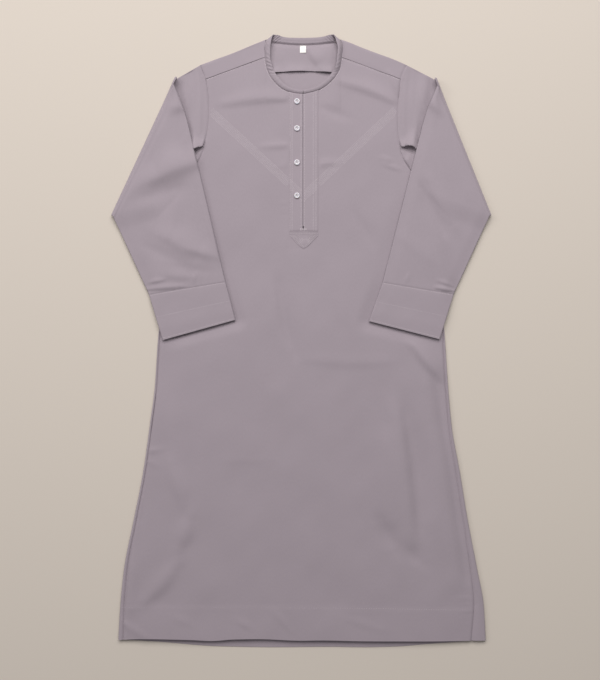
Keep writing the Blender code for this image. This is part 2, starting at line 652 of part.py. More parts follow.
def sleeve_piece(name, sleeve):
    ys = [sleeve.cap[1], *side_rows(UNDERARM_Y + 1)[::-1], sleeve.underarm[1]]
    loop = sleeve_loop(ys)
    cap, underarm = Vector(sleeve.cap), Vector(sleeve.underarm)
    fold_top, elbow = Vector(sleeve.fold_top), Vector(sleeve.elbow)
    wrist_in, wrist_out = Vector(sleeve.wrist_in), Vector(sleeve.wrist_out)
    inward = Vector((-sleeve.side, 0))
    inward -= (elbow - fold_top).normalized() * inward.dot((elbow - fold_top).normalized())
    inward.normalize()
    depth = SLEEVE_AXIS_Z - BACK_Z + CLOTH / 2
    crease = Crossing(fold_top + inward * depth, elbow + inward * depth,
                      wrist_in - fold_top, wrist_out - elbow)
    wrist = Crossing(wrist_in, wrist_out, wrist_in - fold_top, wrist_out - elbow)
    seam = Crossing((0, cap.y), (0, underarm.y), fold_top - cap, elbow - underarm)
    folded_length = (wrist_in - fold_top).length
    end = 1 - SEAM_GAP / 2 / folded_length

    def place(i, j):
        share, height, bulge = loop[i]
        layer = (height - BACK_Z) / (FRONT_Z - BACK_Z)
        turned = crease.at(share, bulge)
        if j < FLAT_RINGS:
            y = seam.at(share, bulge).y
            seam_y = mix(ys[0], ys[-1], share)
            x = mix(armhole(sleeve.side, seam_y, back=True), armhole(sleeve.side, seam_y), layer)
            start = Vector((x + sleeve.side * SEAM_GAP / 2 * (1 + abs(bulge)), y))
            flat = start.lerp(turned, j / FLAT_RINGS)
            return flat.x, flat.y, height
        if j <= FLAT_RINGS + CURL_STEPS:
            angle = math.pi * (j - FLAT_RINGS) / CURL_STEPS
            radius = SLEEVE_AXIS_Z - height
            out = turned - inward * radius * math.sin(angle)
            return out.x, out.y, SLEEVE_AXIS_Z - radius * math.cos(angle)
        along = (j - FLAT_RINGS - CURL_STEPS) / FOLDED_RINGS
        plan = turned.lerp(wrist.at(share, bulge), along * end)
        calm = ease(along * 6) * ease((1 - along) * 6) * (1 - layer) * (1 - abs(bulge))
        relief = folds_at(SLEEVE_FOLDS, plan.x, plan.y) * calm
        return plan.x, plan.y, folded_z(sleeve, height, plan.x, plan.y) + relief

    return sheet(name, len(loop) - 1, FLAT_RINGS + CURL_STEPS + FOLDED_RINGS, place, tube=True)


def cuff_piece(name, sleeve):
    shares = [k / 8 for k in range(9)]
    loop = sleeve_loop([-share for share in shares])
    wrist_in, wrist_out = Vector(sleeve.wrist_in), Vector(sleeve.wrist_out)
    end_in, end_out = Vector(sleeve.end_in), Vector(sleeve.end_out)
    edges = end_in - wrist_in, end_out - wrist_out
    wrist = Crossing(wrist_in, wrist_out, *edges)
    end = Crossing(end_in, end_out, *edges)
    rings = 4
    start = SEAM_GAP / 2 / edges[0].length

    def place(i, j):
        share, height, bulge = loop[i]
        plan = wrist.at(share, bulge).lerp(end.at(share, bulge), mix(start, 1, j / rings))
        return plan.x, plan.y, folded_z(sleeve, height, plan.x, plan.y)

    return sheet(name, len(loop) - 1, rings, place, wall=DOUBLED, tube=True)


# Buttons ----------------------------------------------------------------------------------------

BUTTON_PROFILE = (  # share of the radius, share of the height; the outer side runs downwards
    (0.0, 0.6), (0.56, 0.6), (0.68, 1.0), (0.86, 1.0), (1.0, 0.7), (1.0, 0.3), (0.84, 0.0),
    (0.0, 0.0),
)
BUTTON_FACETS = 18


def hole_cutter():
    """Four thread holes, as one cutter."""
    shape = bmesh.new()
    for quarter in range(4):
        angle = math.pi / 4 + quarter * math.pi / 2
        made = bmesh.ops.create_cone(shape, cap_ends=True, segments=6, radius1=HOLE_RADIUS * MM,
                                     radius2=HOLE_RADIUS * MM, depth=3 * BUTTON_HEIGHT * MM)
        away = HOLE_PITCH / 2 * math.sqrt(2) * MM
        bmesh.ops.translate(shape, verts=made["verts"],
                            vec=(away * math.cos(angle), away * math.sin(angle), 0))
    mesh = bpy.data.meshes.new("button_holes")
    shape.to_mesh(mesh)
    shape.free()
    cutter = add_object("button_holes", mesh, "button", "cutters")
    cutter.hide_render = True
    cutter.display_type = "WIRE"
    return cutter


def button_mesh():
    """A turned disc with a raised rim, drilled with four holes."""
    profile = bpy.data.meshes.new("button_profile")
    points = [(r * BUTTON_RADIUS * MM, 0, z * BUTTON_HEIGHT * MM) for r, z in BUTTON_PROFILE]
    profile.from_pydata(points, [(k, k + 1) for k in range(len(points) - 1)], [])
    turned = add_object("button_profile", profile, "button", "cutters")
    screw = turned.modifiers.new("turn", "SCREW")
    screw.steps = screw.render_steps = BUTTON_FACETS
    screw.use_merge_vertices = True
    screw.merge_threshold = 0.00001
    drill = turned.modifiers.new("drill", "BOOLEAN")
    drill.operation = "DIFFERENCE"
    drill.solver = "EXACT"
    drill.object = hole_cutter()
    bpy.context.view_layer.update()
    finished = turned.evaluated_get(bpy.context.evaluated_depsgraph_get())
    made = bpy.data.meshes.new_from_object(finished)
    made.name = "button"
    bpy.data.objects.remove(turned)
    return made


def buttons():
    mesh = button_mesh()
    for number, y in enumerate(BUTTON_YS, 1):
        button = add_object(f"button_{number}", mesh, "button")
        z = front_z(BUTTON_X, y) + PLY + CLOTH / 2 + BUTTON_REST
        button.location = Vector((BUTTON_X, y, z)) * MM


def clear_scene():
    for existing in list(bpy.data.objects):
        bpy.data.objects.remove(existing)
    for name in (COLLECTION, "cutters"):
        bpy.context.scene.collection.children.link(bpy.data.collections.new(name))


def main():
    clear_scene()
    back_panel()
    back_yoke()
    yoke_facing()
    front_panel()
    placket_strip("placket_under", STRIP_UNDER)
    placket_strip("placket_upper", STRIP_UPPER)
    placket_point()
    neckband()
    size_label()
    for name, sleeve in SLEEVES.items():
        sleeve_piece(f"sleeve_{name}", sleeve)
        cuff_piece(f"cuff_{name}", sleeve)
    buttons()


main()
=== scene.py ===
"""Thobe robe: a youth's woven robe, laid flat on its back with its sleeves folded over its front.

Run as a script, it makes every cloth piece, the stitching, the buttons and the stage. Shapes are
worked out in millimetres and become metres as each mesh is made. +X is the wearer's left, +Y the
neck end and +Z up. "Side" is -1 for the wearer's right and +1 for the left. Heights are those of
the middle of a cloth wall.
"""

import math
from collections import namedtuple

import bmesh
import bpy
import numpy as np
from bpy.props import FloatProperty, FloatVectorProperty, IntProperty, PointerProperty
from mathutils import Matrix, Vector


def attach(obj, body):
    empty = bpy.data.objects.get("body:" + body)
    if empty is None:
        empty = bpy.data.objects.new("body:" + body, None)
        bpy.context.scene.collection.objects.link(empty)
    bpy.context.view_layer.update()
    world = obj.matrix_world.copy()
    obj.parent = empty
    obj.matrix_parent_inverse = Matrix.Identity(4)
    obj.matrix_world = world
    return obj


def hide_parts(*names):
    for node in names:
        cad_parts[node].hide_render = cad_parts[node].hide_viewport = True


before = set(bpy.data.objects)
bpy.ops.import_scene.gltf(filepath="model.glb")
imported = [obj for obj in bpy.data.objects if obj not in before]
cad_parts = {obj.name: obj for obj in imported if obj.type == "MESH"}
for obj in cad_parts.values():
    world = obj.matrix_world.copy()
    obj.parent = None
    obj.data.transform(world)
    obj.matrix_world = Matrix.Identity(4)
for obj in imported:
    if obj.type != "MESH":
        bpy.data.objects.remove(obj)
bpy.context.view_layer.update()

bl_info = {
    "name": "Thobe Robe",
    "version": (1, 0, 0),
    "blender": (4, 5, 0),
    "location": "View3D > Sidebar > Thobe",
    "description": "Makes a woven thobe robe laid flat, with its stitching, buttons and stage",
    "category": "Add Mesh",
}

MM = 0.001
BODY = "root"

# Where the layers lie, as in the frame.
BACK_Z = 0.5
FOLD_RADIUS = 1.35  # of the turned edges, where the back becomes the front
FRONT_Z = BACK_Z + 2 * FOLD_RADIUS
PLY = 1.3  # rise on to cloth that lies on other cloth
PRESSED_PLY = 0.98  # the same where it is sewn down flat
SLEEVE_AXIS_Z = FRONT_Z + 1.25
SEAM_GAP = 0.3  # between pieces that are sewn together
NECK_GAP = 0.4  # the same where the band is sewn on
TURN = 8  # facets round a turned edge

# Heights on the body where its shape changes.
HEM_Y = -567
UNDERARM_Y = 285
UNDERARM_NOTCH = 3.2  # the turned sides end this far below it
BASE_Y = 375  # the body's rows run level up to here
SHOULDER_Y = 498
SLIT_FOOT_Y = 214
PLACKET_FOOT_Y = 209

Side = namedtuple("Side", "y right left right_lap left_lap")
SIDES = (  # folded edges of the body, and how far the side seams lie in from them
    Side(-567, -347, 349, 9.5, 27),
    Side(-499, -343, 345, 7.6, 18),
    Side(-430, -336, 332.5, 6.6, 12.4),
    Side(-339, -318, 315, 5.7, 8.5),
    Side(-248, -300, 300, 4.5, 7.5),
    Side(-157, -287, 284, 3.5, 5.5),
    Side(-88, -278, 278, 3.0, 4.5),
    Side(3, -272, 272, 3.0, 3.5),
    Side(98, -262, 264, 3.0, 3.0),
    Side(193, -247, 250, 3.0, 3.0),
    Side(UNDERARM_Y, -225, 231, 3.0, 3.0),
)

Armhole = namedtuple("Armhole", "y right left")
ARMHOLES = (
    Armhole(UNDERARM_Y, -222, 228),
    Armhole(310, -214, 219),
    Armhole(330, -203, 203),
    Armhole(350, -192, 191.5),
    Armhole(BASE_Y, -184, 185.5),
    Armhole(400, -179, 182.5),
    Armhole(430, -176, 182),
    Armhole(460, -176.5, 183.5),
    Armhole(485, -179.5, 186),
    Armhole(500, -182, 188),
    Armhole(514, -187.5, 193.5),
    Armhole(525, -191, 198.5),
)
BACK_EASE = 4  # how much less the back armhole is scooped
BACK_EASE_FOOT, BACK_EASE_RUN = 15, 40  # it starts this far below, and comes in over this

SHOULDER_FOLD = (
    (-191, 524.4), (-162.5, 535), (-132, 546), (-101.7, 558.6), (-71.3, 571), (-62.7, 573.8),
    (69.4, 573.8), (80.8, 571), (111.2, 558.6), (141.6, 547), (172, 536), (198.5, 524.4),
)
YOKE_SEAM = ((-185, SHOULDER_Y), (-50, 511.5), (3, 514), (56, 511.5), (192, SHOULDER_Y))
FRONT_HEM = (
    (-347, -565), (-295, -562.5), (-211, -564), (-169, -566), (-127, -563), (-84, -562.5),
    (0, -565.5), (39, -564.8), (123, -566.5), (249, -566.8), (349, -566),
)
BACK_HEM = (
    (-347, -565), (-271, -569.7), (-160, -578.1), (-48, -579.9), (54, -579.1), (116, -580),
    (178, -578.8), (240, -574), (349, -566),
)
HEM_REACH = 90  # rows follow the hem's line over this height
HEM_LINE = ((-347, -501.5), (39, -502.5), (349, -507))  # where the turned-up hem is sewn down
HEM_RISE, HEM_STEP = 0.35, 2.5  # its second layer: height, and over what distance it rises

Neck = namedtuple("Neck", "seam_x seam_y seam_z rim_x rim_y rim_z bow")
RIM_Z = FRONT_Z + 1.5
NECK = (  # stations of the neck seam and of the band's rim, from the slit round the back
    Neck(2.4, 469.9, FRONT_Z, 2.4, 476.4, RIM_Z, 0.5),
    Neck(-7, 470.4, FRONT_Z, -6.2, 477.2, RIM_Z, 0.5),
    Neck(-17.5, 472.3, FRONT_Z, -15.8, 479.4, RIM_Z, 0.5),
    Neck(-22.8, 473.8, FRONT_Z, -20.3, 481, RIM_Z, 0.5),
    Neck(-31.2, 477.1, FRONT_Z, -27, 484.2, RIM_Z, 0.5),
    Neck(-42.8, 484.9, FRONT_Z, -37, 492.3, RIM_Z, 0.5),
    Neck(-53.2, 495.9, FRONT_Z, -45, 501.5, RIM_Z, 0.5),
    Neck(-60.8, 507.3, FRONT_Z, -51, 511, RIM_Z, 0.5),
    Neck(-66.5, 523.5, FRONT_Z, -56, 524, 6.4, 0.8),
    Neck(-69, 539.5, FRONT_Z, -59.5, 538.1, 8.2, 0.8),
    Neck(-70.3, 557.7, FRONT_Z, -59.3, 554.5, 9.6, 0.8),
    Neck(-68.4, 568, FRONT_Z, -57.6, 567.2, 10.4, 0.8),
    Neck(-62.7, 573.8, 1.85, -52.8, 580.2, 9.0, 0.6),
    Neck(-56, 566.2, 1.15, -44.7, 579.7, 7.8, 0.4),
    Neck(-44.7, 565.3, 1.15, -35.5, 577.2, 4.8, 0.4),
    Neck(-21.9, 563, 1.15, -21.9, 575.5, 4.5, 0.4),
    Neck(2.9, 562, 1.15, 2.9, 575.1, 4.5, 0.4),
    Neck(27.6, 563, 1.15, 28.5, 575.9, 4.5, 0.4),
    Neck(50.4, 565.3, 1.15, 43.1, 577.6, 5.8, 0.4),
    Neck(61.8, 566.2, 1.15, 52.5, 579.7, 9.0, 0.4),
    Neck(69.4, 573.8, 1.85, 60.2, 580.2, 10.6, 0.6),
    Neck(76, 568, FRONT_Z, 65.6, 567.2, 12.0, 0.8),
    Neck(77.9, 557.7, FRONT_Z, 68.6, 554.5, 12.0, 0.8),
    Neck(76, 539.5, FRONT_Z, 67.4, 536.5, 10.8, 0.8),
    Neck(73.2, 521.6, FRONT_Z, 64.3, 519.6, 8.0, 0.8),
    Neck(66.3, 506.4, FRONT_Z, 57.5, 509.5, RIM_Z, 0.5),
    Neck(56, 494, FRONT_Z, 49.7, 499.2, RIM_Z, 0.5),
    Neck(43.1, 483.2, FRONT_Z, 39, 490.3, RIM_Z, 0.5),
    Neck(31.35, 476.7, FRONT_Z, 28.5, 483.6, RIM_Z, 0.5),
    Neck(18, 472.6, FRONT_Z, 16.6, 479.4, RIM_Z, 0.5),
    Neck(5.2, 470, FRONT_Z, 5, 476.8, RIM_Z, 0.5),
    Neck(3.6, 469.9, FRONT_Z, 3.6, 476.6, RIM_Z, 0.5),
)
STRIP_STATIONS = {-1: 3, 1: 28}  # stations over the outer edges of the placket
SLIT_STATIONS = {-1: 2, 1: 30}
SHOULDER_STATIONS = {-1: 9, 1: 23}  # where each forward shoulder seam ends
FOLD_STATIONS = {-1: (9, 12), 1: (23, 20)}  # from there over the shoulder fold
BACK_STATIONS = (13, 19)  # on the back layer
NECK_STEPS, SLIT_STEPS = 24, 6  # the front's columns beside the placket, and in each third of it

PLACKET_RIGHT, PLACKET_LEFT = -22.8, 31.35
UPPER_EDGE = 2.0  # open edge of the upper strip
UNDER_EDGE = -17.0  # edge of the under strip, inside the slit
UNDER_RISE = (2.4, 4.4)  # the under strip comes up out of the slit between these
UNDER_CREASE = 6.2  # where it is sewn down beside the slit
TAB_TOP_Y, TAB_SHOULDER_Y, TAB_POINT_Y = 208.4, 200.5, 175.8
TAB_PLY, TAB_PRESS = 0.6, 0.6  # it is pressed flatter: its rise, and its share of the wall
FACING_SIDES = ((-82, -66), (73, 88))  # its upper edge on each side of the neck, from x to x
FACING_SIDE_Y = 561.5
FACING_LIFT = 2.4  # how far its lower edge stands off the back
LABEL = (2.85, 547.4, 11.4, 13.6)  # middle x, lower y, width, length
TAPE_WALL = 0.35

FLOOR_Z = -0.4

BUTTON_X = -8.55
BUTTON_YS = (455.0, 403.7, 339.1, 276.4)

Sleeve = namedtuple("Sleeve", "side cap underarm fold_top elbow wrist_in wrist_out end_in end_out")
SLEEVES = {
    "right": Sleeve(-1, (-191, 524.4), (-225, 286), (-239.4, 500.7), (-361, 239.4),
                    (-144.4, 113), (-288.8, 89.3), (-125.6, 40.9), (-262, 2.9)),
    "left": Sleeve(1, (198.5, 524.4), (231, 286), (255.6, 498.8), (360, 239.4),
                   (154, 112), (288, 89.7), (128, 38.4), (260.9, 4.4)),
}
SAG = 3.8  # how far a folded sleeve comes down beside the body
SAG_RUN = 38  # over this distance from the body's edge

# Creases run from (x0, y0) to (x1, y1) and bow sideways by bend at the middle. left and right are
# the half-widths of the slopes on each hand of that direction, so a small one is a sharp edge.
Crease = namedtuple("Crease", "x0 y0 x1 y1 bend left right height")
BODY_CREASES = (
    Crease(-140, 450, -24, 459, 4, 15, 5, 3.4),  # across the right chest
    Crease(79, 489, 176, 453, 4, 13, 5, 3.6),  # down from the left shoulder
    Crease(41, 442, 85, 425, 0, 8, 9, -2.0),
    Crease(104, 238, 132, 190, 0, 9, 9, -1.6),
    Crease(-42, 104, -14, -20, -5, 13, 9, -3.2),  # down the middle
    Crease(22, -35, 158, -38, -3, 15, 9, 1.2),  # across the left thigh
    Crease(214, -12, 258, -66, 0, 16, 6, 6.5),
    Crease(200, -150, 222, -345, 3, 24, 12, -5.0),  # the long fold on the left
    Crease(182, -150, 206, -350, 3, 13, 34, 5.0),
    Crease(150, -128, 168, -190, 0, 15, 9, -1.6),
    Crease(262, -80, 316, -440, 4, 7, 16, -4.6),  # beside the left seam
    Crease(238, -90, 294, -440, 4, 14, 30, 4.2),
    Crease(150, -346, 174, -394, 0, 16, 8, -4.4),
    Crease(196, -392, 226, -420, 0, 14, 9, -2.2),
    Crease(-212, -336, -230, -388, 2, 11, 17, 3.8),  # towards the right corner of the hem
    Crease(-240, -426, -290, -486, 3, 11, 17, 4.0),
    Crease(-246, -236, -226, -300, 0, 14, 10, 3.4),
    Crease(-327, -390, -326, -500, 0, 12, 8, 3.2),
    Crease(-300, -200, -306, -330, 0, 9, 9, -2.4),
    Crease(-54, -512, -24, -546, 0, 7, 4, 1.1),
    Crease(-150, -226, -58, -225, 0, 9, 5, 0.35),
    Crease(-120, -532, -96, -546, 0, 8, 5, 0.9),
    Crease(92, -528, 150, -545, 0, 9, 6, 0.8),
    Crease(-236, -524, -214, -538, 0, 7, 5, 1.1),
    Crease(60, 130, 96, 30, -6, 20, 20, 1.3),
    Crease(-120, 60, -70, -80, 8, 22, 20, 1.4),
)
BODY_PUCKERS = (  # short ones, which keep their height up to a seam
    Crease(-72, 368, -19, 371, 0, 8, 3.2, 1.9),
    Crease(27, 334, 66, 338, 0, 8, 3.2, 1.9),
    Crease(-46, 331, -20, 334, 0, 6, 3, 0.8),
    Crease(-38, 262, -24, 261, 0, 3, 2.2, 0.6),
    Crease(-36, 249, -24, 248, 0, 3, 2.2, 0.5),
    Crease(150, 348, 172, 341, 0, 3.4, 2, 2.0),
    Crease(154, 338, 171, 331, 0, 3.4, 2, 1.8),
    Crease(168, 331, 186, 326, 0, 3.4, 2, 1.8),
    Crease(166, 508, 183, 468, 0, 7, 2.6, 2.4),  # tuck at the left shoulder
    Crease(-342, -529, -296, -563, 0, 3.5, 7, 1.9),  # corner of the hem
    Crease(298, -486, 327, -489, 0, 3.5, 2.2, 1.0),
    Crease(302, -497, 328, -500, 0, 3.5, 2.2, 0.9),
    Crease(306, -508, 332, -511, 0, 3.5, 2.2, 0.9),
    Crease(-296, -210, -266, -205, 0, 5, 2.6, 1.3),
    Crease(-294, -224, -270, -238, 0, 4, 3, 1.0),
)
SLEEVE_CREASES = (
    Crease(-270, 312, -208, 336, 3, 30, 17, 8.4),  # right upper arm
    Crease(-286, 274, -244, 284, 0, 16, 22, -3.6),
    Crease(-246, 194, -192, 170, -3, 26, 15, 4.8),  # right forearm
    Crease(-206, 172, -160, 160, 0, 10, 6, 1.0),
    Crease(-286, 176, -236, 150, 0, 12, 12, -1.8),
    Crease(-252, 142, -176, 132, 0, 8, 10, -1.0),
    Crease(-250, 124, -212, 122, 0, 9, 7, 1.0),
    Crease(-262, 446, -228, 442, 0, 18, 11, 5.0),
    Crease(-187, 258, -158, 156, 0, 3.4, 3.4, 1.2),
    Crease(236, 455, 280, 425, 0, 16, 7, 3.8),  # left upper arm
    Crease(246, 500, 262, 462, 0, 8, 6, -1.6),
    Crease(227, 288, 267, 210, 0, 9, 9, -2.8),  # left forearm
    Crease(246, 300, 288, 222, -4, 15, 12, 2.8),
    Crease(196, 190, 250, 150, 0, 18, 12, 1.3),
)
SLEEVE_PUCKERS = (
    Crease(-288, 99, -226, 104, 0, 6, 3, 2.2),
    Crease(-284, 112, -262, 116, 0, 5, 3, 1.8),
    Crease(-206, 112, -198, 128, 0, 4, 3, 0.9),
    Crease(256, 101, 285, 96, 0, 5, 2.6, 2.8),
    Crease(262, 113, 282, 106, 0, 5, 3, 1.8),
    Crease(196, 112, 203, 128, 0, 3, 4, 0.8),
)
CAP_CREASES = (  # on the sleeve's cap, between the armhole and the folded edge
    Crease(-210, 356, -198, 362, 0, 5, 6, -1.9),
    Crease(-204, 350, -196, 330, 0, 7, 7, 2.2),
    Crease(-196, 498, -193, 396, 3, 4, 5, 1.1),
    Crease(-212, 505, -205, 420, 0, 6, 6, -0.9),
    Crease(200, 366, 213, 356, 0, 5, 6, -1.9),
    Crease(198, 332, 206, 352, 0, 7, 7, 2.2),
    Crease(199, 500, 194, 400, -3, 5, 4, 1.1),
    Crease(222, 505, 212, 424, 0, 6, 6, -0.9),
    Crease(237, 494, 221, 405, 0, 8, 26, 4.4),  # it turns down under the folded sleeve
    Crease(-230, 500, -206, 400, 0, 22, 6, 2.2),
    Crease(251, 496, 207, 345, 0, 8, 4, -1.8),
    Crease(-236, 498, -199, 345, 0, 4, 8, -1.6),
)
CAP_LIPS = (  # where that cloth bulges and hangs over
    Crease(-215, 361, -190, 374, 6, 12, 3, 9.6),
    Crease(193, 373, 219, 366, 10, 12, 3, 9.6),
)
# Finer rows and rings of a sleeve there, as shares across it and along its cap.
LIP_SHARES, LIP_RINGS = np.arange(0.575, 0.71, 0.006), np.linspace(0.02, 0.34, 17)
BACK_CREASES = (  # on the hidden side they rise from the surface below
    Crease(-150, 380, 120, 372, 8, 14, 8, 0.9),
    Crease(60, 300, 150, 120, 10, 12, 9, 1.0),
    Crease(-160, 220, -60, 10, -12, 13, 10, 1.1),
    Crease(-210, -60, -150, -330, 8, 12, 9, 1.1),
    Crease(20, -40, 60, -300, -10, 14, 10, 0.9),
    Crease(190, -120, 236, -400, 6, 12, 9, 1.1),
    Crease(-70, -300, -100, -480, 6, 12, 9, 0.9),
    Crease(120, 440, 180, 330, 0, 9, 7, 0.8),
)
FACING_CREASES = (
    Crease(14, 551, 32, 524, 0, 14, 5, 3.6),
    Crease(44, 556, 46, 522, 0, 14, 12, 1.6),
    Crease(-46, 556, -38, 530, 0, 8, 8, 0.9),
)
CREASE_WIDTHS = (0.75, 0.35)  # share of its width at a crease's ends, and how much more midway
CREASE_HEIGHTS = (0.55, 0.45)  # the same for its height
CREASE_FADE = 0.8  # share of its width over which it fades past its ends
EDGE_CALM, SLEEVE_CALM, PLACKET_CALM = 11, 26, 9  # creases die away over these distances
PLACKET_SHARE = 0.15  # of a crease's height that the stiff placket lets through

Swell = namedtuple("Swell", "across_x across_y phase height")
SWELLS = (  # the slow unevenness of pressed cloth, as waves per metre
    Swell(3.1, 7.3, 0.4, 0.30),
    Swell(-6.7, 4.9, 2.1, 0.22),
    Swell(11.3, 3.7, 4.4, 0.12),
    Swell(-9.1, 13.9, 1.3, 0.09),
    Swell(17.9, -12.1, 5.2, 0.05),
)
SKIRT_AIR, CHEST_AIR, SIDE_AIR, HEM_AIR = 4.4, 1.0, 3.2, 5.6  # how far the front is held up
AIR_RUN, TOP_RUN = 60, 60  # it rises over these distances from the sides and the upper edge
CHEST_Y, CHEST_RUN = 20, 160  # the skirt's air gives way to the chest's from here up
SIDE_AIR_Y, SIDE_AIR_RUN = -10, 150  # and the sides are held up from here down
HEM_AIR_RUN = 70  # the hem's air gives way over this height
SLEEVE_AIR, CUFF_AIR = (1.7, 3.2), (0.6, 1.2)  # at the edges and in the middle of each
SLEEVE_AIR_RUN = 26  # it rises over this distance from an edge
ROLL, ROLL_AT, ROLL_RUN = 2.4, 5, 10  # the springy roll beside a sleeve's fold
APEX_OPEN, APEX_RUN = (8.0, -4.0), 46  # how the fold gapes at its upper end
APEX_DIP, APEX_PEAK, PEAK_RUN = 1.9, 6.0, 24  # how its cloth dips below there and stands up
SIDE_DIP = 2.2  # how far cloth turns down into a side seam
SEAM_DIP, CUFF_DIP, TOP_DIP = 0.8, 0.3, 1.3  # at the others, at a cuff and at the upper edge
SEAM_DIP_RUN = 1.6  # over this distance from any of them
PUCKER = 0.16  # height of the ripple that sewing leaves beside a seam
PUCKER_RUN, PUCKER_PITCH = 7, 13  # how far from the seam it dies away, and its wave's length
PUCKER_DRIFT = (1.7, 31)  # it is uneven by these radians, over these mm
FAR = 1e3  # a distance that is past every edge


# Colours ----------------------------------------------------------------------------------------

def linear(colour):
    """An sRGB hex colour as linear red, green and blue."""
    parts = [int(colour[k:k + 2], 16) / 255 for k in (1, 3, 5)]
    return tuple(v / 12.92 if v <= 0.04045 else ((v + 0.055) / 1.055) ** 2.4 for v in parts)


# Curves and creases -----------------------------------------------------------------------------

def mix(a, b, share):
    return a + (b - a) * share


def ease(share):
    share = np.clip(share, 0.0, 1.0)
    return share * share * (3 - 2 * share)


def bell(distance, width):
    """1 at a place, dying away over this width on both sides of it."""
    return np.exp(-(distance / width) ** 2)


def through(points, at):
    """Height at `at` of a smooth curve through (place, height) points, level past both ends."""
    xs, ys = np.array(points, float).T
    at = np.clip(at, xs[0], xs[-1])
    width = np.diff(xs)
    steps = np.diff(ys) / width
    before, after = steps[:-1], steps[1:]
    turning = before * after <= 0
    inner = np.where(turning, 0, 2 * before * after / np.where(turning, 1, before + after))
    slopes = np.concatenate([steps[:1], inner, steps[-1:]])
    k = np.clip(np.searchsorted(xs, at, side="right") - 1, 0, len(width) - 1)
    t = (at - xs[k]) / width[k]
    return (ys[k] * (1 + 2 * t) * (1 - t) ** 2 + ys[k + 1] * t * t * (3 - 2 * t)
            + width[k] * t * (1 - t) * (slopes[k] * (1 - t) - slopes[k + 1] * t))


def side_fold(side, y):
    return through([(row.y, row.right if side < 0 else row.left) for row in SIDES], y)


def side_seam(side, y):
    laps = [(row.y, row.right_lap if side < 0 else row.left_lap) for row in SIDES]
    return side_fold(side, y) - side * through(laps, y)


def armhole(side, y, back=False):
    x = through([(row.y, row.right if side < 0 else row.left) for row in ARMHOLES], y)
    if back:
        foot = ease((y - UNDERARM_Y + BACK_EASE_FOOT) / BACK_EASE_RUN)
        x = x + side * BACK_EASE * foot * ease((ARMHOLES[-1].y - y) / BACK_EASE_RUN)
    return x


def neck_at(stations):
    """The neck at any stations: a Neck of arrays."""
    return Neck(*[through(list(enumerate(column)), stations) for column in zip(*NECK)])


def neck_edge(stations, gap):
    """Plan points of the neck seam, moved by `gap` away from the band."""
    at = neck_at(stations)
    seam = np.stack([at.seam_x, at.seam_y], axis=-1)
    away = seam - np.stack([at.rim_x, at.rim_y], axis=-1)
    return seam + away / np.linalg.norm(away, axis=-1, keepdims=True) * gap


def spread(start, end, step, edges=()):
    """Places from start to end about `step` apart, with finer ones at these distances from ends."""
    count = max(2, round(abs(end - start) / step) + 1)
    places = np.linspace(0, abs(end - start), count)
    fine = [d for d in edges if d < step] + [abs(end - start) - d for d in edges if d < step]
    places = np.unique(np.round(np.concatenate([places, fine]), 4))
    return start + math.copysign(1, end - start) * places


def outside(polygon, x, y):
    """Distance from points to a polygon, 0 inside it."""
    inside = np.zeros(np.shape(x), bool)
    nearest = np.full(np.shape(x), np.inf)
    for (x0, y0), (x1, y1) in zip(polygon, polygon[1:] + polygon[:1]):
        crosses = ((y0 > y) != (y1 > y)) & (x < x0 + (y - y0) * (x1 - x0) / (y1 - y0))
        inside ^= crosses
        run = (x1 - x0) ** 2 + (y1 - y0) ** 2
        t = np.clip(((x - x0) * (x1 - x0) + (y - y0) * (y1 - y0)) / run, 0, 1)
        nearest = np.minimum(nearest, np.hypot(x - mix(x0, x1, t), y - mix(y0, y1, t)))
    return np.where(inside, 0.0, nearest)


def creased(creases, x, y):
    """Height of a table's creases at points."""
    total = np.zeros(np.shape(x))
    for c in creases:
        length = math.hypot(c.x1 - c.x0, c.y1 - c.y0)
        ux, uy = (c.x1 - c.x0) / length, (c.y1 - c.y0) / length
        along = ((x - c.x0) * ux + (y - c.y0) * uy) / length
        inner = np.clip(along, 0, 1)
        midway = np.sin(math.pi * inner)
        across = (y - c.y0) * ux - (x - c.x0) * uy - c.bend * midway
        past = np.abs(along - inner) * length
        width = np.where(across > 0, c.left, c.right)
        width = width * (CREASE_WIDTHS[0] + CREASE_WIDTHS[1] * midway)
        height = c.height * (CREASE_HEIGHTS[0] + CREASE_HEIGHTS[1] * midway)
        total += height * bell(past, CREASE_FADE * (c.left + c.right)) * bell(across, width)
    return total


def swelled(x, y, height=1.0):
    """The slow unevenness of the cloth at points."""
    total = np.zeros(np.shape(x))
    for s in SWELLS:
        total += s.height * np.sin((x * s.across_x + y * s.across_y) * MM * 2 * math.pi + s.phase)
    return height * total


def dipped(distance, along=None, depth=SEAM_DIP):
    """How cloth goes down into a seam at this distance, with the ripple that sewing leaves."""
    height = -depth * bell(distance, SEAM_DIP_RUN)
    if along is not None:
        drift, run = PUCKER_DRIFT
        wave = np.sin(2 * math.pi * along / PUCKER_PITCH + drift * np.sin(along / run))
        height = height + PUCKER * wave * np.exp(-distance / PUCKER_RUN)
    return height


def sleeve_outline(sleeve):
    """Plan of the part of a sleeve that is folded over, with its cuff."""
    return [sleeve.fold_top, sleeve.wrist_in, sleeve.end_in, sleeve.end_out, sleeve.wrist_out,
            sleeve.elbow]


def front_top(x):
    """Height of the front's upper edge, along the shoulder seams and the neck seam."""
    right, left = [(armhole(side, SHOULDER_Y), SHOULDER_Y) for side in (-1, 1)]
    front = [*NECK[:SHOULDER_STATIONS[-1] + 1], *NECK[SHOULDER_STATIONS[1]:]]
    neck = sorted((station.seam_x, station.seam_y) for station in front)
    return through([right, *neck, left], x)


def beside_seams(x, y):
    """Distance in from the nearer side seam or armhole, negative past it."""
    edges = [np.where(y < UNDERARM_Y, side_seam(side, y), armhole(side, y)) for side in (-1, 1)]
    return np.minimum(x - edges[0], edges[1] - x)


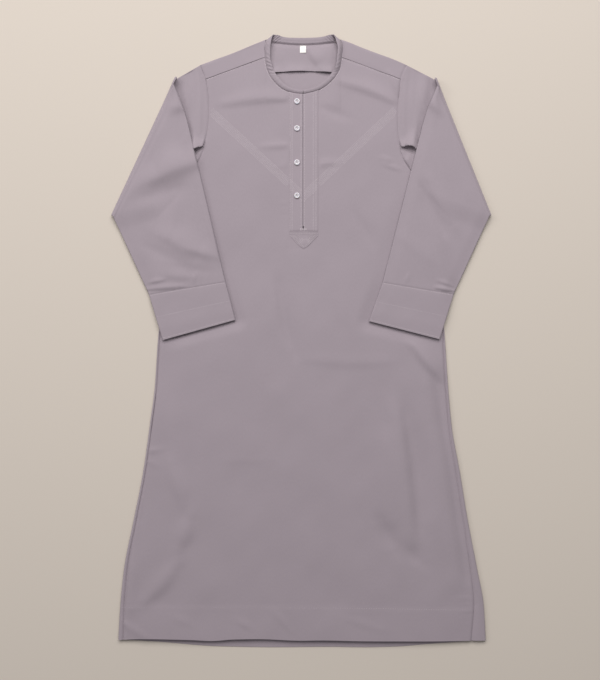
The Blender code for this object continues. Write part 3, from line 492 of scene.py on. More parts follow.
def clear_of_sleeves(x, y):
    """0 under the sleeves and 1 well away from them."""
    clear = np.ones(np.shape(x))
    for sleeve in SLEEVES.values():
        clear = clear * ease(outside(sleeve_outline(sleeve), x, y) / SLEEVE_CALM)
    return clear


def below_top(x, y):
    """Distance below the front's upper edge."""
    return np.where(y > 0, front_top(x) - y, FAR)


def held_up(x, y):
    """How far the air in the robe holds its front up: most in the open skirt."""
    middle = mix(SKIRT_AIR, CHEST_AIR, ease((y - CHEST_Y) / CHEST_RUN))
    inwards = ease(beside_seams(x, y) / AIR_RUN)
    lift = mix(SIDE_AIR * ease((SIDE_AIR_Y - y) / SIDE_AIR_RUN), middle, inwards)
    lift = mix(mix(SIDE_AIR, HEM_AIR, inwards), lift, ease((y - HEM_Y) / HEM_AIR_RUN))
    return lift * clear_of_sleeves(x, y) * ease(below_top(x, y) / TOP_RUN)


def front_relief(x, y):
    """Height of the body's creases, which die away at seams, under sleeves and at the placket."""
    height = creased(BODY_CREASES, x, y) + swelled(x, y)
    height = height * ease(beside_seams(x, y) / EDGE_CALM) * ease(below_top(x, y) / EDGE_CALM)
    height = (height + creased(BODY_PUCKERS, x, y)) * clear_of_sleeves(x, y)
    beside = np.maximum(np.maximum(PLACKET_RIGHT - x, x - PLACKET_LEFT), 0)
    below = np.maximum(TAB_POINT_Y - y, 0)
    calm = mix(PLACKET_SHARE, 1, ease(np.hypot(beside, below) / PLACKET_CALM))
    hem = HEM_RISE * ease((through(HEM_LINE, x) - y) / HEM_STEP)
    return height * calm + hem


def front_z(x, y):
    return FRONT_Z + held_up(x, y) + front_relief(x, y)


# Meshes -----------------------------------------------------------------------------------------

def laid_flat(points):
    """The flat cut of a grid: distance along each row from its middle, and up the middle column."""
    middle = points.shape[1] // 2
    steps = np.linalg.norm(np.diff(points, axis=1), axis=2)
    across = np.concatenate([np.zeros((len(points), 1)), np.cumsum(steps, axis=1)], axis=1)
    across -= across[:, middle:middle + 1]
    rises = np.linalg.norm(np.diff(points[:, middle], axis=0), axis=1)
    up = np.concatenate([[0], np.cumsum(rises)])
    return np.stack([across, np.broadcast_to(up[:, None], across.shape)], axis=2)


def add_piece(name, mesh, finish, replaced=()):
    """An object for a mesh that is in place, riding on the robe's one body."""
    piece = bpy.data.objects.new(name, mesh)
    bpy.context.scene.collection.objects.link(piece)
    if finish and not mesh.materials:
        mesh.materials.append(finish)
    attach(piece, BODY)
    if replaced:
        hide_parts(*replaced)
    return piece


def add_cloth(name, points, wall, finish, node, keep=None, tube=False):
    """A closed cloth shell on a grid of points in mm, [row, column], with its cut as its UVs."""
    around = points.shape[1] - 1 if tube else points.shape[1]
    j, i = np.mgrid[0:points.shape[0] - 1, 0:points.shape[1] - 1]
    corners = ((j, i), (j, i + 1), (j + 1, i + 1), (j + 1, i))
    cut = laid_flat(points)
    quads = np.stack([a * around + b % around for a, b in corners], axis=-1).reshape(-1, 4)
    uvs = np.stack([cut[a, b] for a, b in corners], axis=-2).reshape(-1, 4, 2)
    if keep is not None:
        quads, uvs = quads[keep.ravel()], uvs[keep.ravel()]
    used, quads = np.unique(quads, return_inverse=True)
    mesh = bpy.data.meshes.new(name)
    mesh.from_pydata((points[:, :around].reshape(-1, 3)[used] * MM).tolist(), [],
                     quads.reshape(-1, 4).tolist())
    mesh.uv_layers.new(name="cut").data.foreach_set("uv", (uvs * MM).ravel())
    mesh.shade_smooth()
    edge_of_corner = np.zeros(len(mesh.loops), np.int32)
    mesh.loops.foreach_get("edge_index", edge_of_corner)
    rim = np.bincount(edge_of_corner, minlength=len(mesh.edges)) == 1
    mesh.attributes.new("sharp_edge", "BOOLEAN", "EDGE").data.foreach_set("value", rim)
    piece = add_piece(name, mesh, finish, [node])
    shell = piece.modifiers.new("wall", "SOLIDIFY")
    shell.thickness = wall * MM
    shell.offset = 0
    return piece


# Body -------------------------------------------------------------------------------------------

EDGE_ROWS = (0.7, 1.7, 3.2)  # finer cells beside an edge
BACK_CELL, FINE_CELL = 1.6, 1.5  # the back's cells are larger, and the lining's and tab's finer
LAP_SHARES = np.array((0.35, 0.7, 1.0))  # points from the turned edge to the side seam
BACK_WIDTH = 450  # for the number of the back's columns
BACK_CALM = 12  # its creases die away over one part in this many of its width, at each side


def side_rows(cell):
    """Heights of the body's rows at the side, from the hem to the shoulder."""
    stops = (HEM_Y, SLIT_FOOT_Y, UNDERARM_Y, BASE_Y)
    rows = [spread(a, b, cell, EDGE_ROWS if a == HEM_Y else ()) for a, b in zip(stops, stops[1:])]
    rises = spread(0, SHOULDER_Y - BASE_Y, cell, EDGE_ROWS)
    return np.unique(np.concatenate([*rows, rises + BASE_Y]))


def hem_shift(hem, x, y):
    """How far a point near the hem moves to follow the hem's line."""
    return (through(hem, x) - HEM_Y) * ease((HEM_Y + HEM_REACH - y) / HEM_REACH)


def fanned(rows, top):
    """Heights of the body's rows, the upper ones spread so that they end along this line."""
    rise = np.clip((rows - BASE_Y) / (SHOULDER_Y - BASE_Y), 0, 1)[:, None]
    return np.where(rise > 0, mix(BASE_Y, top, rise), rows[:, None])


def front_upper_edge(cell):
    """Plan points of the front's upper edge, and the places in it that bound its columns."""
    shoulders, necks = {}, {}
    for side in (-1, 1):
        outer = np.array((armhole(side, SHOULDER_Y) - side * SEAM_GAP / 2, SHOULDER_Y))
        inner = neck_edge(SHOULDER_STATIONS[side], NECK_GAP / 2)
        length = np.linalg.norm(inner - outer)
        share = spread(0, length, cell, EDGE_ROWS)[:, None] / length
        shoulders[side] = mix(outer, inner, share) - (0, SEAM_GAP / 2)
        stops = SHOULDER_STATIONS[side], STRIP_STATIONS[side], SLIT_STATIONS[side]
        places = [np.linspace(stops[k], stops[k + 1], steps + 1)[1:]
                  for k, steps in enumerate((NECK_STEPS, SLIT_STEPS))]
        necks[side] = neck_edge(np.concatenate(places), NECK_GAP / 2)
    slit = mix(necks[-1][-1], necks[1][-1], np.linspace(0, 1, SLIT_STEPS + 1)[1:-1, None])
    top = np.concatenate([shoulders[-1], necks[-1], slit, necks[1][::-1], shoulders[1][::-1]])
    steps = len(shoulders[-1]) - 1 + NECK_STEPS, SLIT_STEPS, SLIT_STEPS, SLIT_STEPS
    return top, [0, *np.cumsum(steps), len(top) - 1]


def front_panel(cell, wall, finish):
    top, marks = front_upper_edge(cell)
    rows = side_rows(cell)
    edges = [np.where(rows > UNDERARM_Y, armhole(side, rows), side_seam(side, rows))
             - side * SEAM_GAP / 2 for side in (-1, 1)]
    stops = [edges[0], *[np.full(len(rows), top[m, 0]) for m in marks[1:-1]], edges[1]]
    x = np.zeros((len(rows), len(top)))
    for k, (first, last) in enumerate(zip(marks, marks[1:])):
        share = (top[first:last + 1, 0] - top[first, 0]) / (top[last, 0] - top[first, 0])
        x[:, first:last + 1] = mix(stops[k][:, None], stops[k + 1][:, None], share)
    x[-1] = top[:, 0]
    y = fanned(rows, top[:, 1])
    beside = np.minimum(x - edges[0][:, None], edges[1][:, None] - x)
    above = np.where(y > BASE_Y, top[:, 1] - y, FAR)
    z = front_z(x, y) + dipped(beside, y, np.where(y < UNDERARM_Y, SIDE_DIP, SEAM_DIP))
    z = z + dipped(above, x, TOP_DIP)
    y = y + hem_shift(FRONT_HEM, x, y)
    kept = np.ones((len(rows) - 1, len(top) - 1), bool)
    kept[np.searchsorted(rows, SLIT_FOOT_Y):, marks[2]:marks[3]] = False
    return add_cloth("front", np.stack([x, y, z], axis=2), wall, finish, "front_panel", kept)


def turned_side(side, rows, radius):
    """Points of the back where it turns round a side and runs on to the side seam."""
    angles = np.linspace(0, math.pi, TURN + 1)[1:]
    low = np.minimum(rows, UNDERARM_Y - UNDERARM_NOTCH)[:, None]
    fold, seam = side_fold(side, low), side_seam(side, low) + side * SEAM_GAP / 2
    arc_x = fold - side * radius * (1 - np.sin(angles))
    arc_z = BACK_Z + radius * (1 - np.cos(angles))
    lap_x = mix(fold - side * radius, seam, LAP_SHARES)
    lap_y = np.broadcast_to(low, lap_x.shape)
    lap_z = front_z(lap_x, lap_y) + dipped(np.abs(lap_x - seam), lap_y, SIDE_DIP)
    x = np.concatenate([arc_x, lap_x], axis=1)
    y = np.broadcast_to(low, x.shape)
    y = y + hem_shift(FRONT_HEM, x, y)
    return np.stack([x, y, np.concatenate([arc_z, lap_z], axis=1)], axis=2)


def back_panel(cell, wall, finish):
    rows = side_rows(cell)
    across = spread(0, 1, cell / BACK_WIDTH)
    edges, turned = {}, {}
    for side in (-1, 1):
        radius = FOLD_RADIUS + held_up(side_fold(side, rows), rows) / 2
        edges[side] = np.where(rows < UNDERARM_Y, side_fold(side, rows) - side * radius,
                               armhole(side, rows, back=True) - side * SEAM_GAP / 2)
        turned[side] = turned_side(side, rows, radius[:, None])
    x = mix(edges[-1][:, None], edges[1][:, None], across)
    y = np.repeat(rows[:, None], len(across), axis=1)
    y[-1] = through(YOKE_SEAM, x[-1]) - SEAM_GAP / 2
    y[:-1] += (y[-1] - SHOULDER_Y) * ease((rows[:-1, None] - BASE_Y) / (SHOULDER_Y - BASE_Y))
    calm = ease(np.minimum(across, 1 - across) * BACK_CALM)
    z = BACK_Z + np.maximum(creased(BACK_CREASES, x, y), 0) * calm
    y = y + hem_shift(BACK_HEM, x, y)
    points = np.concatenate([turned[-1][:, ::-1], np.stack([x, y, z], axis=2), turned[1]], axis=1)
    wrap = turned[1].shape[1]
    kept = np.ones((len(rows) - 1, points.shape[1] - 1), bool)
    above = np.searchsorted(rows, UNDERARM_Y)
    kept[above:, :wrap] = kept[above:, -wrap:] = False
    return add_cloth("back", points, wall, finish, "back_panel", kept)


# Yoke -------------------------------------------------------------------------------------------

# Beside the neckband the yoke follows the neck seam over the fold: station of FOLD_STATIONS, how
# far outwards and upwards from it, height.
YOKE_NECK = (
    (3, -2.2, -5.0, BACK_Z), (3, -1.4, -1.6, BACK_Z + 0.5), (3, 2.8, -0.8, 1.65),
    (3, 5.9, -2.5, FRONT_Z - 0.35), (2, 0, 0, FRONT_Z), (1, 0, 0, FRONT_Z),
)
YOKE_FOLD, YOKE_FRONT = (2, 6), 8  # stages of a yoke column: its fold, and its forward seam
YOKE_EDGES = (0.1, 7.6, 7.9)  # finer ones beside its seams
YOKE_WIDTH, YOKE_COLUMNS = 120, (0.006, 0.016)  # width for its columns, finer ones at its ends
CORNER_IN = 3  # how far from the neck's corner the back's columns end
YOKE_SWELL, YOKE_CALM, YOKE_DIP = 0.5, 9, 0.1  # its waves, their run from the seam, the seam's dip
NEAR_NECK = 0.75  # share of the shoulder from which its columns bend to the neck's


def shoulder_columns(side, shares, stages):
    """Points of one shoulder of the yoke, [stage, share], from the back seam to the forward one."""
    gap = side * SEAM_GAP / 2
    start, end = FOLD_STATIONS[side]
    corner = neck_edge(np.linspace(start, end, abs(end - start) + 1), NECK_GAP / 2)
    tip_x = SHOULDER_FOLD[0 if side < 0 else -1][0]
    seam_x = mix(armhole(side, SHOULDER_Y, back=True) - gap, corner[-1][0] + side * CORNER_IN,
                 shares)
    fold_x = mix(tip_x - gap, corner[-1][0], shares)
    fold_y = through(SHOULDER_FOLD, fold_x)
    back = np.stack([seam_x, through(YOKE_SEAM, seam_x) + SEAM_GAP / 2,
                     np.full_like(seam_x, BACK_Z)], axis=1)
    front = np.stack([mix(armhole(side, SHOULDER_Y) - gap, corner[0][0], shares),
                      mix(SHOULDER_Y, corner[0][1], shares) + SEAM_GAP / 2,
                      np.full_like(seam_x, FRONT_Z)], axis=1)
    first, last = YOKE_FOLD
    angle = math.pi * np.clip((stages - first) / (last - first), 0, 1)[:, None]
    turn = np.stack(np.broadcast_arrays(fold_x, fold_y - FOLD_RADIUS * (1 - np.sin(angle)),
                                        BACK_Z + FOLD_RADIUS * (1 - np.cos(angle))), axis=2)
    s = stages[:, None, None]
    plain = np.where(s < first, mix(back, turn, s / first), turn)
    plain = np.where(s > last, mix(turn, front, (s - last) / (YOKE_FRONT - last)), plain)
    necks = [(corner[k][0] + side * out, corner[k][1] + up, z) for k, out, up, z in YOKE_NECK]
    ends = [back[-1], (back[-1] + necks[0]) / 2, *necks, front[-1]]
    neck = np.stack([through(list(enumerate(column)), stages) for column in zip(*ends)], axis=1)
    bend = ease((shares - NEAR_NECK) / (1 - NEAR_NECK))[None, :, None]
    return mix(plain, neck[:, None, :], bend)


def yoke(cell, wall, finish):
    shares = spread(0, 1, cell / YOKE_WIDTH, YOKE_COLUMNS)
    stops = 0, *YOKE_FOLD, YOKE_FRONT
    even = [np.linspace(a, b, TURN + 1) for a, b in zip(stops, stops[1:])]
    stages = np.unique(np.concatenate([*even, YOKE_EDGES]))
    shoulders = {side: shoulder_columns(side, shares, stages) for side in (-1, 1)}
    for points in shoulders.values():
        top = stages[:, None] >= YOKE_FOLD[1]
        x, y = points[..., 0], points[..., 1]
        seam = np.abs(y - points[-1, :, 1])
        edge = np.abs(x - points[:, :1, 0])
        lift = creased(BODY_PUCKERS, x, y) + swelled(x, y, YOKE_SWELL) * ease(seam / YOKE_CALM)
        points[..., 2] += np.where(top, dipped(seam, x, YOKE_DIP) + dipped(edge, y) + lift, 0)
    edge = neck_edge(np.linspace(*BACK_STATIONS, 31), NECK_GAP / 2)
    seam_y = through(YOKE_SEAM, edge[:, 0]) + SEAM_GAP / 2
    share = np.clip(stages / YOKE_FOLD[0], 0, 1)[:, None]
    middle = np.stack(np.broadcast_arrays(edge[:, 0], mix(seam_y, edge[:, 1], share), BACK_Z),
                      axis=2)
    points = np.concatenate([shoulders[-1], middle, shoulders[1][:, ::-1]], axis=1)
    kept = np.ones((len(stages) - 1, points.shape[1] - 1), bool)
    neck = slice(len(shares) - 1, len(shares) + len(edge))
    kept[np.searchsorted(stages, YOKE_FOLD[0]):, neck] = False
    return add_cloth("yoke", points, wall, finish, "back_yoke", kept)


LINING_OPEN = (3, 62, 9)  # where the neck is open above it: middle x, half the width, and slope
LINING_WAVES = ((0.3, 9.1, 2.6), (0.16, 3.9, 1))  # of its free edge: height, mm for a radian, phase
LINING_DENT = (0.7, 25, 2.2)  # depth, x and width of the dent in it
LINING_EDGE, LINING_TOP = 9, 8  # heights over which its free edge lifts and its top flattens
LINING_AIR, LINING_SWELL = 0.8, 0.6  # how far it stands off the back, and its waves
LINING_LOW, LINING_TOP_GAP = 1.2, 0.2  # it covers the yoke's seam, and ends below the neck's
LINING_DEPTH, LINING_ROWS = 50, (0.012, 0.03, 0.055)  # for its rows: height, finer ones at its ends


def lining_z(x, y, low, top):
    """Height of the inner yoke layer between its free lower edge and its upper one."""
    middle, half, slope = LINING_OPEN
    wave = 1
    for height, length, phase in LINING_WAVES:
        wave = wave + height * np.sin(x / length + phase)
    depth, place, width = LINING_DENT
    wave = wave - depth * bell(x - place, width)
    lift = FACING_LIFT * wave * bell(y - low, LINING_EDGE)
    relief = creased(FACING_CREASES, x, y) + swelled(x, y, LINING_SWELL) + LINING_AIR
    inside = ease((half - np.abs(x - middle)) / slope)
    return BACK_Z + PLY + inside * (lift + relief * ease((top - y) / LINING_TOP))


def yoke_lining(cell, wall, finish):
    """The inner yoke layer, whose free lower edge lifts a little inside the neck."""
    right, left = [[(x, FACING_SIDE_Y) for x in spread(*ends, cell)] for ends in FACING_SIDES]
    back = neck_edge(np.linspace(*BACK_STATIONS, 41), NECK_GAP / 2)
    tops = np.concatenate([right, back, left])
    low = through(YOKE_SEAM, tops[:, 0]) - LINING_LOW
    rise = spread(0, 1, cell / LINING_DEPTH, LINING_ROWS)[:, None]
    x = np.broadcast_to(tops[:, 0], (len(rise), len(tops)))
    y = mix(low, tops[:, 1] - LINING_TOP_GAP, rise)
    z = lining_z(x, y, low, tops[:, 1])
    return add_cloth("yoke_lining", np.stack([x, y, z], axis=2), wall, finish, "yoke_facing")


# Neckband, placket and label --------------------------------------------------------------------

# Where the band is gathered: station, spread, height, and how many waves for each station.
Gather = namedtuple("Gather", "station spread height waves slant")
GATHERS = (
    Gather(8.0, 1.3, 1.1, 2.1, 0.9),
    Gather(24.0, 1.4, 0.35, 2.1, -0.6),
    Gather(13.1, 0.8, 1.0, 1.9, -1.2),
    Gather(19.1, 0.8, 1.0, 1.9, 1.2),
)
BAND_CREASES = (  # deep ones at the shoulder: station, width, depth
    (12.3, 0.7, 5.0), (19.8, 0.7, 6.0),
)
BAND_SHARES = (0, 0.04, 0.1, 0.18, 0.27, 0.36, 0.46, 0.58, 0.7, 0.82, 0.92, 1.0)  # its rows
BAND_STEPS = 9  # columns from station to station
BAND_ROUND = 0.8  # the smaller, the sooner it rises from its seam
BAND_RIPPLE = (0.12, 1.3, 0.4)  # height, waves for a station, and how unevenly they come
BAND_EDGES = (0.12, 0.8)  # share of a ripple that its seam keeps, and how fast the rest comes
BAND_GROOVE, BAND_GROOVE_WIDTH = 0.5, 0.09  # where it is sewn on
BACK_GROOVE = 0.4  # share of it at the back
BAND_RIDGE = (0.27, 0.09, 0.9)  # of the inner layer at the back: share of width, spread, height


def neckband(wall, finish):
    last = len(NECK) - 1
    stations = np.linspace(0, last, last * BAND_STEPS + 1)[:, None]
    at = neck_at(stations)
    shares = np.array(BAND_SHARES)
    seam = neck_edge(stations, -NECK_GAP / 2)
    x = mix(seam[..., 0], at.rim_x, shares)
    y = mix(seam[..., 1], at.rim_y, shares)
    z = mix(at.seam_z, at.rim_z, np.sin(math.pi / 2 * shares) ** BAND_ROUND)
    z = z + at.bow * np.sin(math.pi * shares)
    height, rate, drift = BAND_RIPPLE
    ripple = height * np.sin(2 * math.pi * (rate * stations + drift * np.sin(stations)))
    for g in GATHERS:
        wave = np.sin(2 * math.pi * (g.waves * stations + g.slant * shares))
        ripple = ripple + g.height * bell(stations - g.station, g.spread) * wave
    for station, width, depth in BAND_CREASES:
        ripple = ripple - depth * bell(stations - station, width)
    kept, rate = BAND_EDGES
    z = z + ripple * np.sin(math.pi * np.clip(kept + shares * rate, 0, 1))
    place, width, height = BAND_RIDGE
    first, last = BACK_STATIONS
    back = ease((stations - first + 0.5) * 2) * ease((last + 0.5 - stations) * 2)
    z = z + back * height * bell(shares - place, width)
    z = z - BAND_GROOVE * mix(1, BACK_GROOVE, back) * bell(shares, BAND_GROOVE_WIDTH)
    z = np.maximum(z, BACK_Z + 0.5)
    return add_cloth("band", np.stack([x, y, z], axis=2), wall, finish, "neckband")


STRIP_DROP, STRIP_ROUND = 0.5, 1.3  # how a strip's folded edge rounds down, over this distance
STRIP_TOP_GAP = 0.2  # the strips end this far below the front
QUILT = (3.5, 2.5, 0.22)  # how much closer its waves are across and along, and their height
GROOVE, GROOVE_WIDTH = 0.2, 0.9  # where the under strip is sewn down beside the slit
GROOVE_COLUMNS = np.arange(-1.2, 1.3, 0.6)  # finer ones across that groove


def strip_edge(distance):
    """How a strip's folded edge rounds down on to the cloth below it."""
    return -STRIP_DROP * bell(distance, STRIP_ROUND)


def placket_z(x, y, plies=1.0, ply=PRESSED_PLY):
    """Height of the placket's cloth, which is quilted a little by its stitching."""
    across, along, height = QUILT
    quilt = swelled(x * across, y * along, height) - GROOVE * bell(x - UNDER_CREASE, GROOVE_WIDTH)
    return front_z(x, y) + (ply + quilt) * plies


def placket_strip(name, node, xs, plies, cell, wall, finish, side_x, keep=None):
    """A strip of the placket on the front's rows: its rise at each x, and the edge that shows."""
    rows = side_rows(cell)
    foot = PLACKET_FOOT_Y
    rows = np.concatenate([[foot, *(foot + np.array(EDGE_ROWS[:2]))], rows[rows > foot + 3]])
    x = np.broadcast_to(xs, (len(rows), len(xs)))
    top = front_top(xs) - NECK_GAP / 2 - STRIP_TOP_GAP
    y = fanned(rows, top)
    edge = np.minimum(np.minimum(y - foot, top - y), np.abs(x - side_x))
    z = placket_z(x, y, plies) + strip_edge(edge) * plies
    kept = keep(x[:-1, :-1], y[:-1, :-1]) if keep else None
    return add_cloth(name, np.stack([x, y, z], axis=2), wall, finish, node, kept)


def placket(cell, wall, finish):
    fine = cell / 2
    upper = spread(PLACKET_RIGHT, UPPER_EDGE, fine, EDGE_ROWS[:2])
    placket_strip("placket_top", "placket_upper", upper, np.ones(len(upper)), cell, wall, finish,
                  PLACKET_RIGHT)
    start, end = UNDER_RISE
    under = np.unique(np.concatenate([spread(UNDER_EDGE, start, fine),
                                      np.linspace(start, end, 5),
                                      UNDER_CREASE + GROOVE_COLUMNS,
                                      spread(UNDER_CREASE + 2, PLACKET_LEFT, fine, EDGE_ROWS[:2])]))
    placket_strip("placket_below", "placket_under", under, ease((under - start) / (end - start)),
                  cell, wall, finish, PLACKET_LEFT,
                  lambda x, y: (x >= end - 0.01) | (y >= SLIT_FOOT_Y + 0.5))
    placket_tab(fine, wall, finish)


PLACKET_MIDDLE = (PLACKET_RIGHT + PLACKET_LEFT) / 2
TAB_CURVE = 1.25  # 1 is a straight-sided point, and more rounds it
TAB_DROP = 0.3  # share of a strip's round edge
TAB_LENGTH, TAB_ROWS = 45, (0.02, 0.05)  # for its rows: height, finer ones at its ends
TAB_CROWN = (2, 187, 11, 8, 0.9)  # x from the middle, y, width, length and height of its bulge


def tab_low(x):
    """Height of the tab's pointed lower edge."""
    out = np.abs(x - PLACKET_MIDDLE) / (PLACKET_LEFT - PLACKET_MIDDLE)
    return mix(TAB_POINT_Y, TAB_SHOULDER_Y, out ** TAB_CURVE)


def placket_tab(cell, wall, finish):
    xs = spread(PLACKET_RIGHT, PLACKET_LEFT, cell / FINE_CELL, EDGE_ROWS[:2])
    low = tab_low(xs)
    share = spread(0, 1, cell / TAB_LENGTH, TAB_ROWS)[:, None]
    x = np.broadcast_to(xs, (len(share), len(xs)))
    y = mix(low, TAB_TOP_Y, share)
    edge = np.minimum(np.minimum(x - xs[0], xs[-1] - x), np.minimum(y - low, TAB_TOP_Y - y))
    aside, crown_y, width, length, height = TAB_CROWN
    crown = height * bell(x - PLACKET_MIDDLE - aside, width) * bell(y - crown_y, length)
    z = placket_z(x, y, ply=TAB_PLY) + TAB_DROP * strip_edge(edge) + crown
    return add_cloth("placket_tab", np.stack([x, y, z], axis=2), wall * TAB_PRESS, finish,
                     "placket_point")


LABEL_CURLS = (0.4, 0.35)  # how far its sides tip, and how far its lower end lifts
LABEL_SWAY = 2.6  # radians of its sideways curve over its width
LABEL_REST = 0.9  # its height above the lining


def label_z(x, y):
    """Height of the size tab, which curls a little above the lining."""
    middle, low, width, length = LABEL
    tip, lift = LABEL_CURLS
    curl = tip * np.sin((x - middle) / width * LABEL_SWAY)
    curl = curl + lift * ((low + length - y) / length) ** 2
    return lining_z(x, y, through(YOKE_SEAM, x), low + length) + LABEL_REST + curl


def label_tab(wall, finish):
    middle, low, width, length = LABEL
    across, along = np.meshgrid(np.linspace(0, 1, 9), np.linspace(0, 1, 10))
    x, y = middle + width * (across - 0.5), low + length * along
    return add_cloth("label_tab", np.stack([x, y, label_z(x, y)], axis=2), wall, finish,
                     "size_label")


# Sleeves and cuffs ------------------------------------------------------------------------------

def unit(vector):
    return vector / np.linalg.norm(vector)


Loop = namedtuple("Loop", "share height bulge")


def flattened_loop(shares):
    """Round a flattened tube: share across it, height of its layer, and bulge at an edge."""
    angles = np.linspace(0, math.pi, TURN + 1)[1:-1]
    middle = (FRONT_Z + BACK_Z) / 2
    count, turns = len(shares), len(angles)
    share = np.concatenate([shares, np.ones(turns), shares[::-1], np.zeros(turns), shares[:1]])
    height = np.concatenate([np.full(count, FRONT_Z), middle + FOLD_RADIUS * np.cos(angles),
                             np.full(count, BACK_Z), middle - FOLD_RADIUS * np.cos(angles),
                             [FRONT_Z]])
    bulge = np.concatenate([np.zeros(count), np.sin(angles), np.zeros(count), -np.sin(angles), [0]])
    return Loop(share, height, bulge)


class Crossing:
    """A line across a sleeve from its upper edge to its lower edge, set in for the turned edges."""

    def __init__(self, upper, lower, upper_edge, lower_edge):
        self.along = unit(lower - upper)
        self.insets = [FOLD_RADIUS / abs(np.cross(self.along, unit(edge)))
                       for edge in (upper_edge, lower_edge)]
        self.upper = upper + self.along * self.insets[0]
        self.lower = lower - self.along * self.insets[1]

    def at(self, share, bulge):
        out = bulge * np.where(bulge < 0, self.insets[0], self.insets[1])
        return mix(self.upper, self.lower, share[..., None]) + self.along * out[..., None]


def sagged(sleeve, x, y):
    """How far a folded sleeve comes down, to the surface beside the body."""
    start, end = np.array(sleeve.underarm), np.array(sleeve.elbow)
    along = unit(end - start)
    below = -sleeve.side * (along[0] * (y - start[1]) - along[1] * (x - start[0]))
    beside = sleeve.side * (x - side_fold(sleeve.side, y))
    return SAG * ease(np.minimum(below, beside) / SAG_RUN)


def folded_z(sleeve, height, x, y):
    return 2 * SLEEVE_AXIS_Z - height - sagged(sleeve, x, y)


def sleeve_shares(width, cell):
    return spread(0, width, cell, EDGE_ROWS[1:]) / width


def puffed(levels, share, width):
    """How far the air in a sleeve holds its upper layer up, from its levels at edge and middle."""
    return mix(*levels, ease(np.minimum(share, 1 - share) * width / SLEEVE_AIR_RUN))


CREASE_WIDTH, WRIST_WIDTH = 238, 145  # of a sleeve at its folded edge and at its cuff
CAP_LENGTH = 60  # for the number of rings between the armhole and the folded edge
FOLD_ROOM = 0.5  # the folded edge keeps this far inside the sleeve's outline
SEAM_CALM = 4  # creases come in over this distance from the armhole
APEX_DIP_RUN, GAPE_RUN = 30, 12  # how far from its upper end the fold dips and gapes
OPEN_RUN, ROLL_RISE, AIR_RISE = 8, 4, 30  # the gape, roll and air come in over this from the fold
LIP_FADE = 5  # what shows of the cap fades over one part in this many, at the folded edge
CALM_SHARE, CUFF_CALM = 7, 30  # the same beyond the fold, and over this distance from a cuff
CUFF_AIR_RUN = 70  # the air comes down to the cuff's over this distance
SLEEVE_SWELL = 0.8
CAP_EDGES = (0.015, 0.03, 0.06)  # shares of its length with finer rings at its ends
TURN_RINGS = 12  # round the folded edge
RIPPLE_WIDTH = 150  # the ripple beside a cuff is counted over this width


def cap_rings(sleeve, loop, turned, cell):
    """Rings from the armhole to the folded edge, whose upper layer shows."""
    cap, underarm, fold_top, elbow, wrist_in = map(np.array, sleeve[1:6])
    share, height, bulge = loop
    layer = (height - BACK_Z) / (FRONT_Z - BACK_Z)
    seam = Crossing(np.array((0, cap[1])), np.array((0, underarm[1])), fold_top - cap,
                    elbow - underarm)
    seam_y = mix(cap[1], underarm[1], share)
    seam_x = mix(armhole(sleeve.side, seam_y, back=True), armhole(sleeve.side, seam_y), layer)
    start = np.stack([seam_x + sleeve.side * SEAM_GAP / 2 * (1 + np.abs(bulge)),
                      seam.at(share, bulge)[:, 1]], axis=1)
    edge_along = unit(wrist_in - fold_top)
    dip = APEX_DIP * bell(share * CREASE_WIDTH, APEX_DIP_RUN)
    rings = []
    for u in np.unique(np.concatenate([spread(0, 1, cell / CAP_LENGTH, CAP_EDGES), LIP_RINGS])):
        plan = mix(start, turned, u)
        x, y = plan.T
        reach = np.linalg.norm(plan - start, axis=1)
        clear = sleeve.side * (plan - fold_top) @ (edge_along[1], -edge_along[0])
        shown = layer * (1 - np.abs(bulge)) * ease((1 - u) * LIP_FADE)
        calm = ease(reach / SEAM_CALM)
        relief = creased(CAP_CREASES, x, y) * calm + dipped(reach, y) - dip * ease(u * 2)
        hang = creased(CAP_LIPS, x, y) * calm * ease(clear / SEAM_CALM) * shown
        rings.append(np.stack([x, y - hang, height + relief * shown + hang], axis=1))
    return rings


def turn_rings(loop, turned, inward, peak):
    """Rings round the folded edge, from the cap over on to the front."""
    radius = SLEEVE_AXIS_Z - loop.height
    rings = []
    for angle in np.linspace(0, math.pi, TURN_RINGS + 1)[1:]:
        plan = turned - inward * (radius * math.sin(angle))[:, None]
        rise = peak * (1 - math.cos(angle)) / 2
        rings.append(np.column_stack([plan, SLEEVE_AXIS_Z - radius * math.cos(angle) + rise]))
    return rings


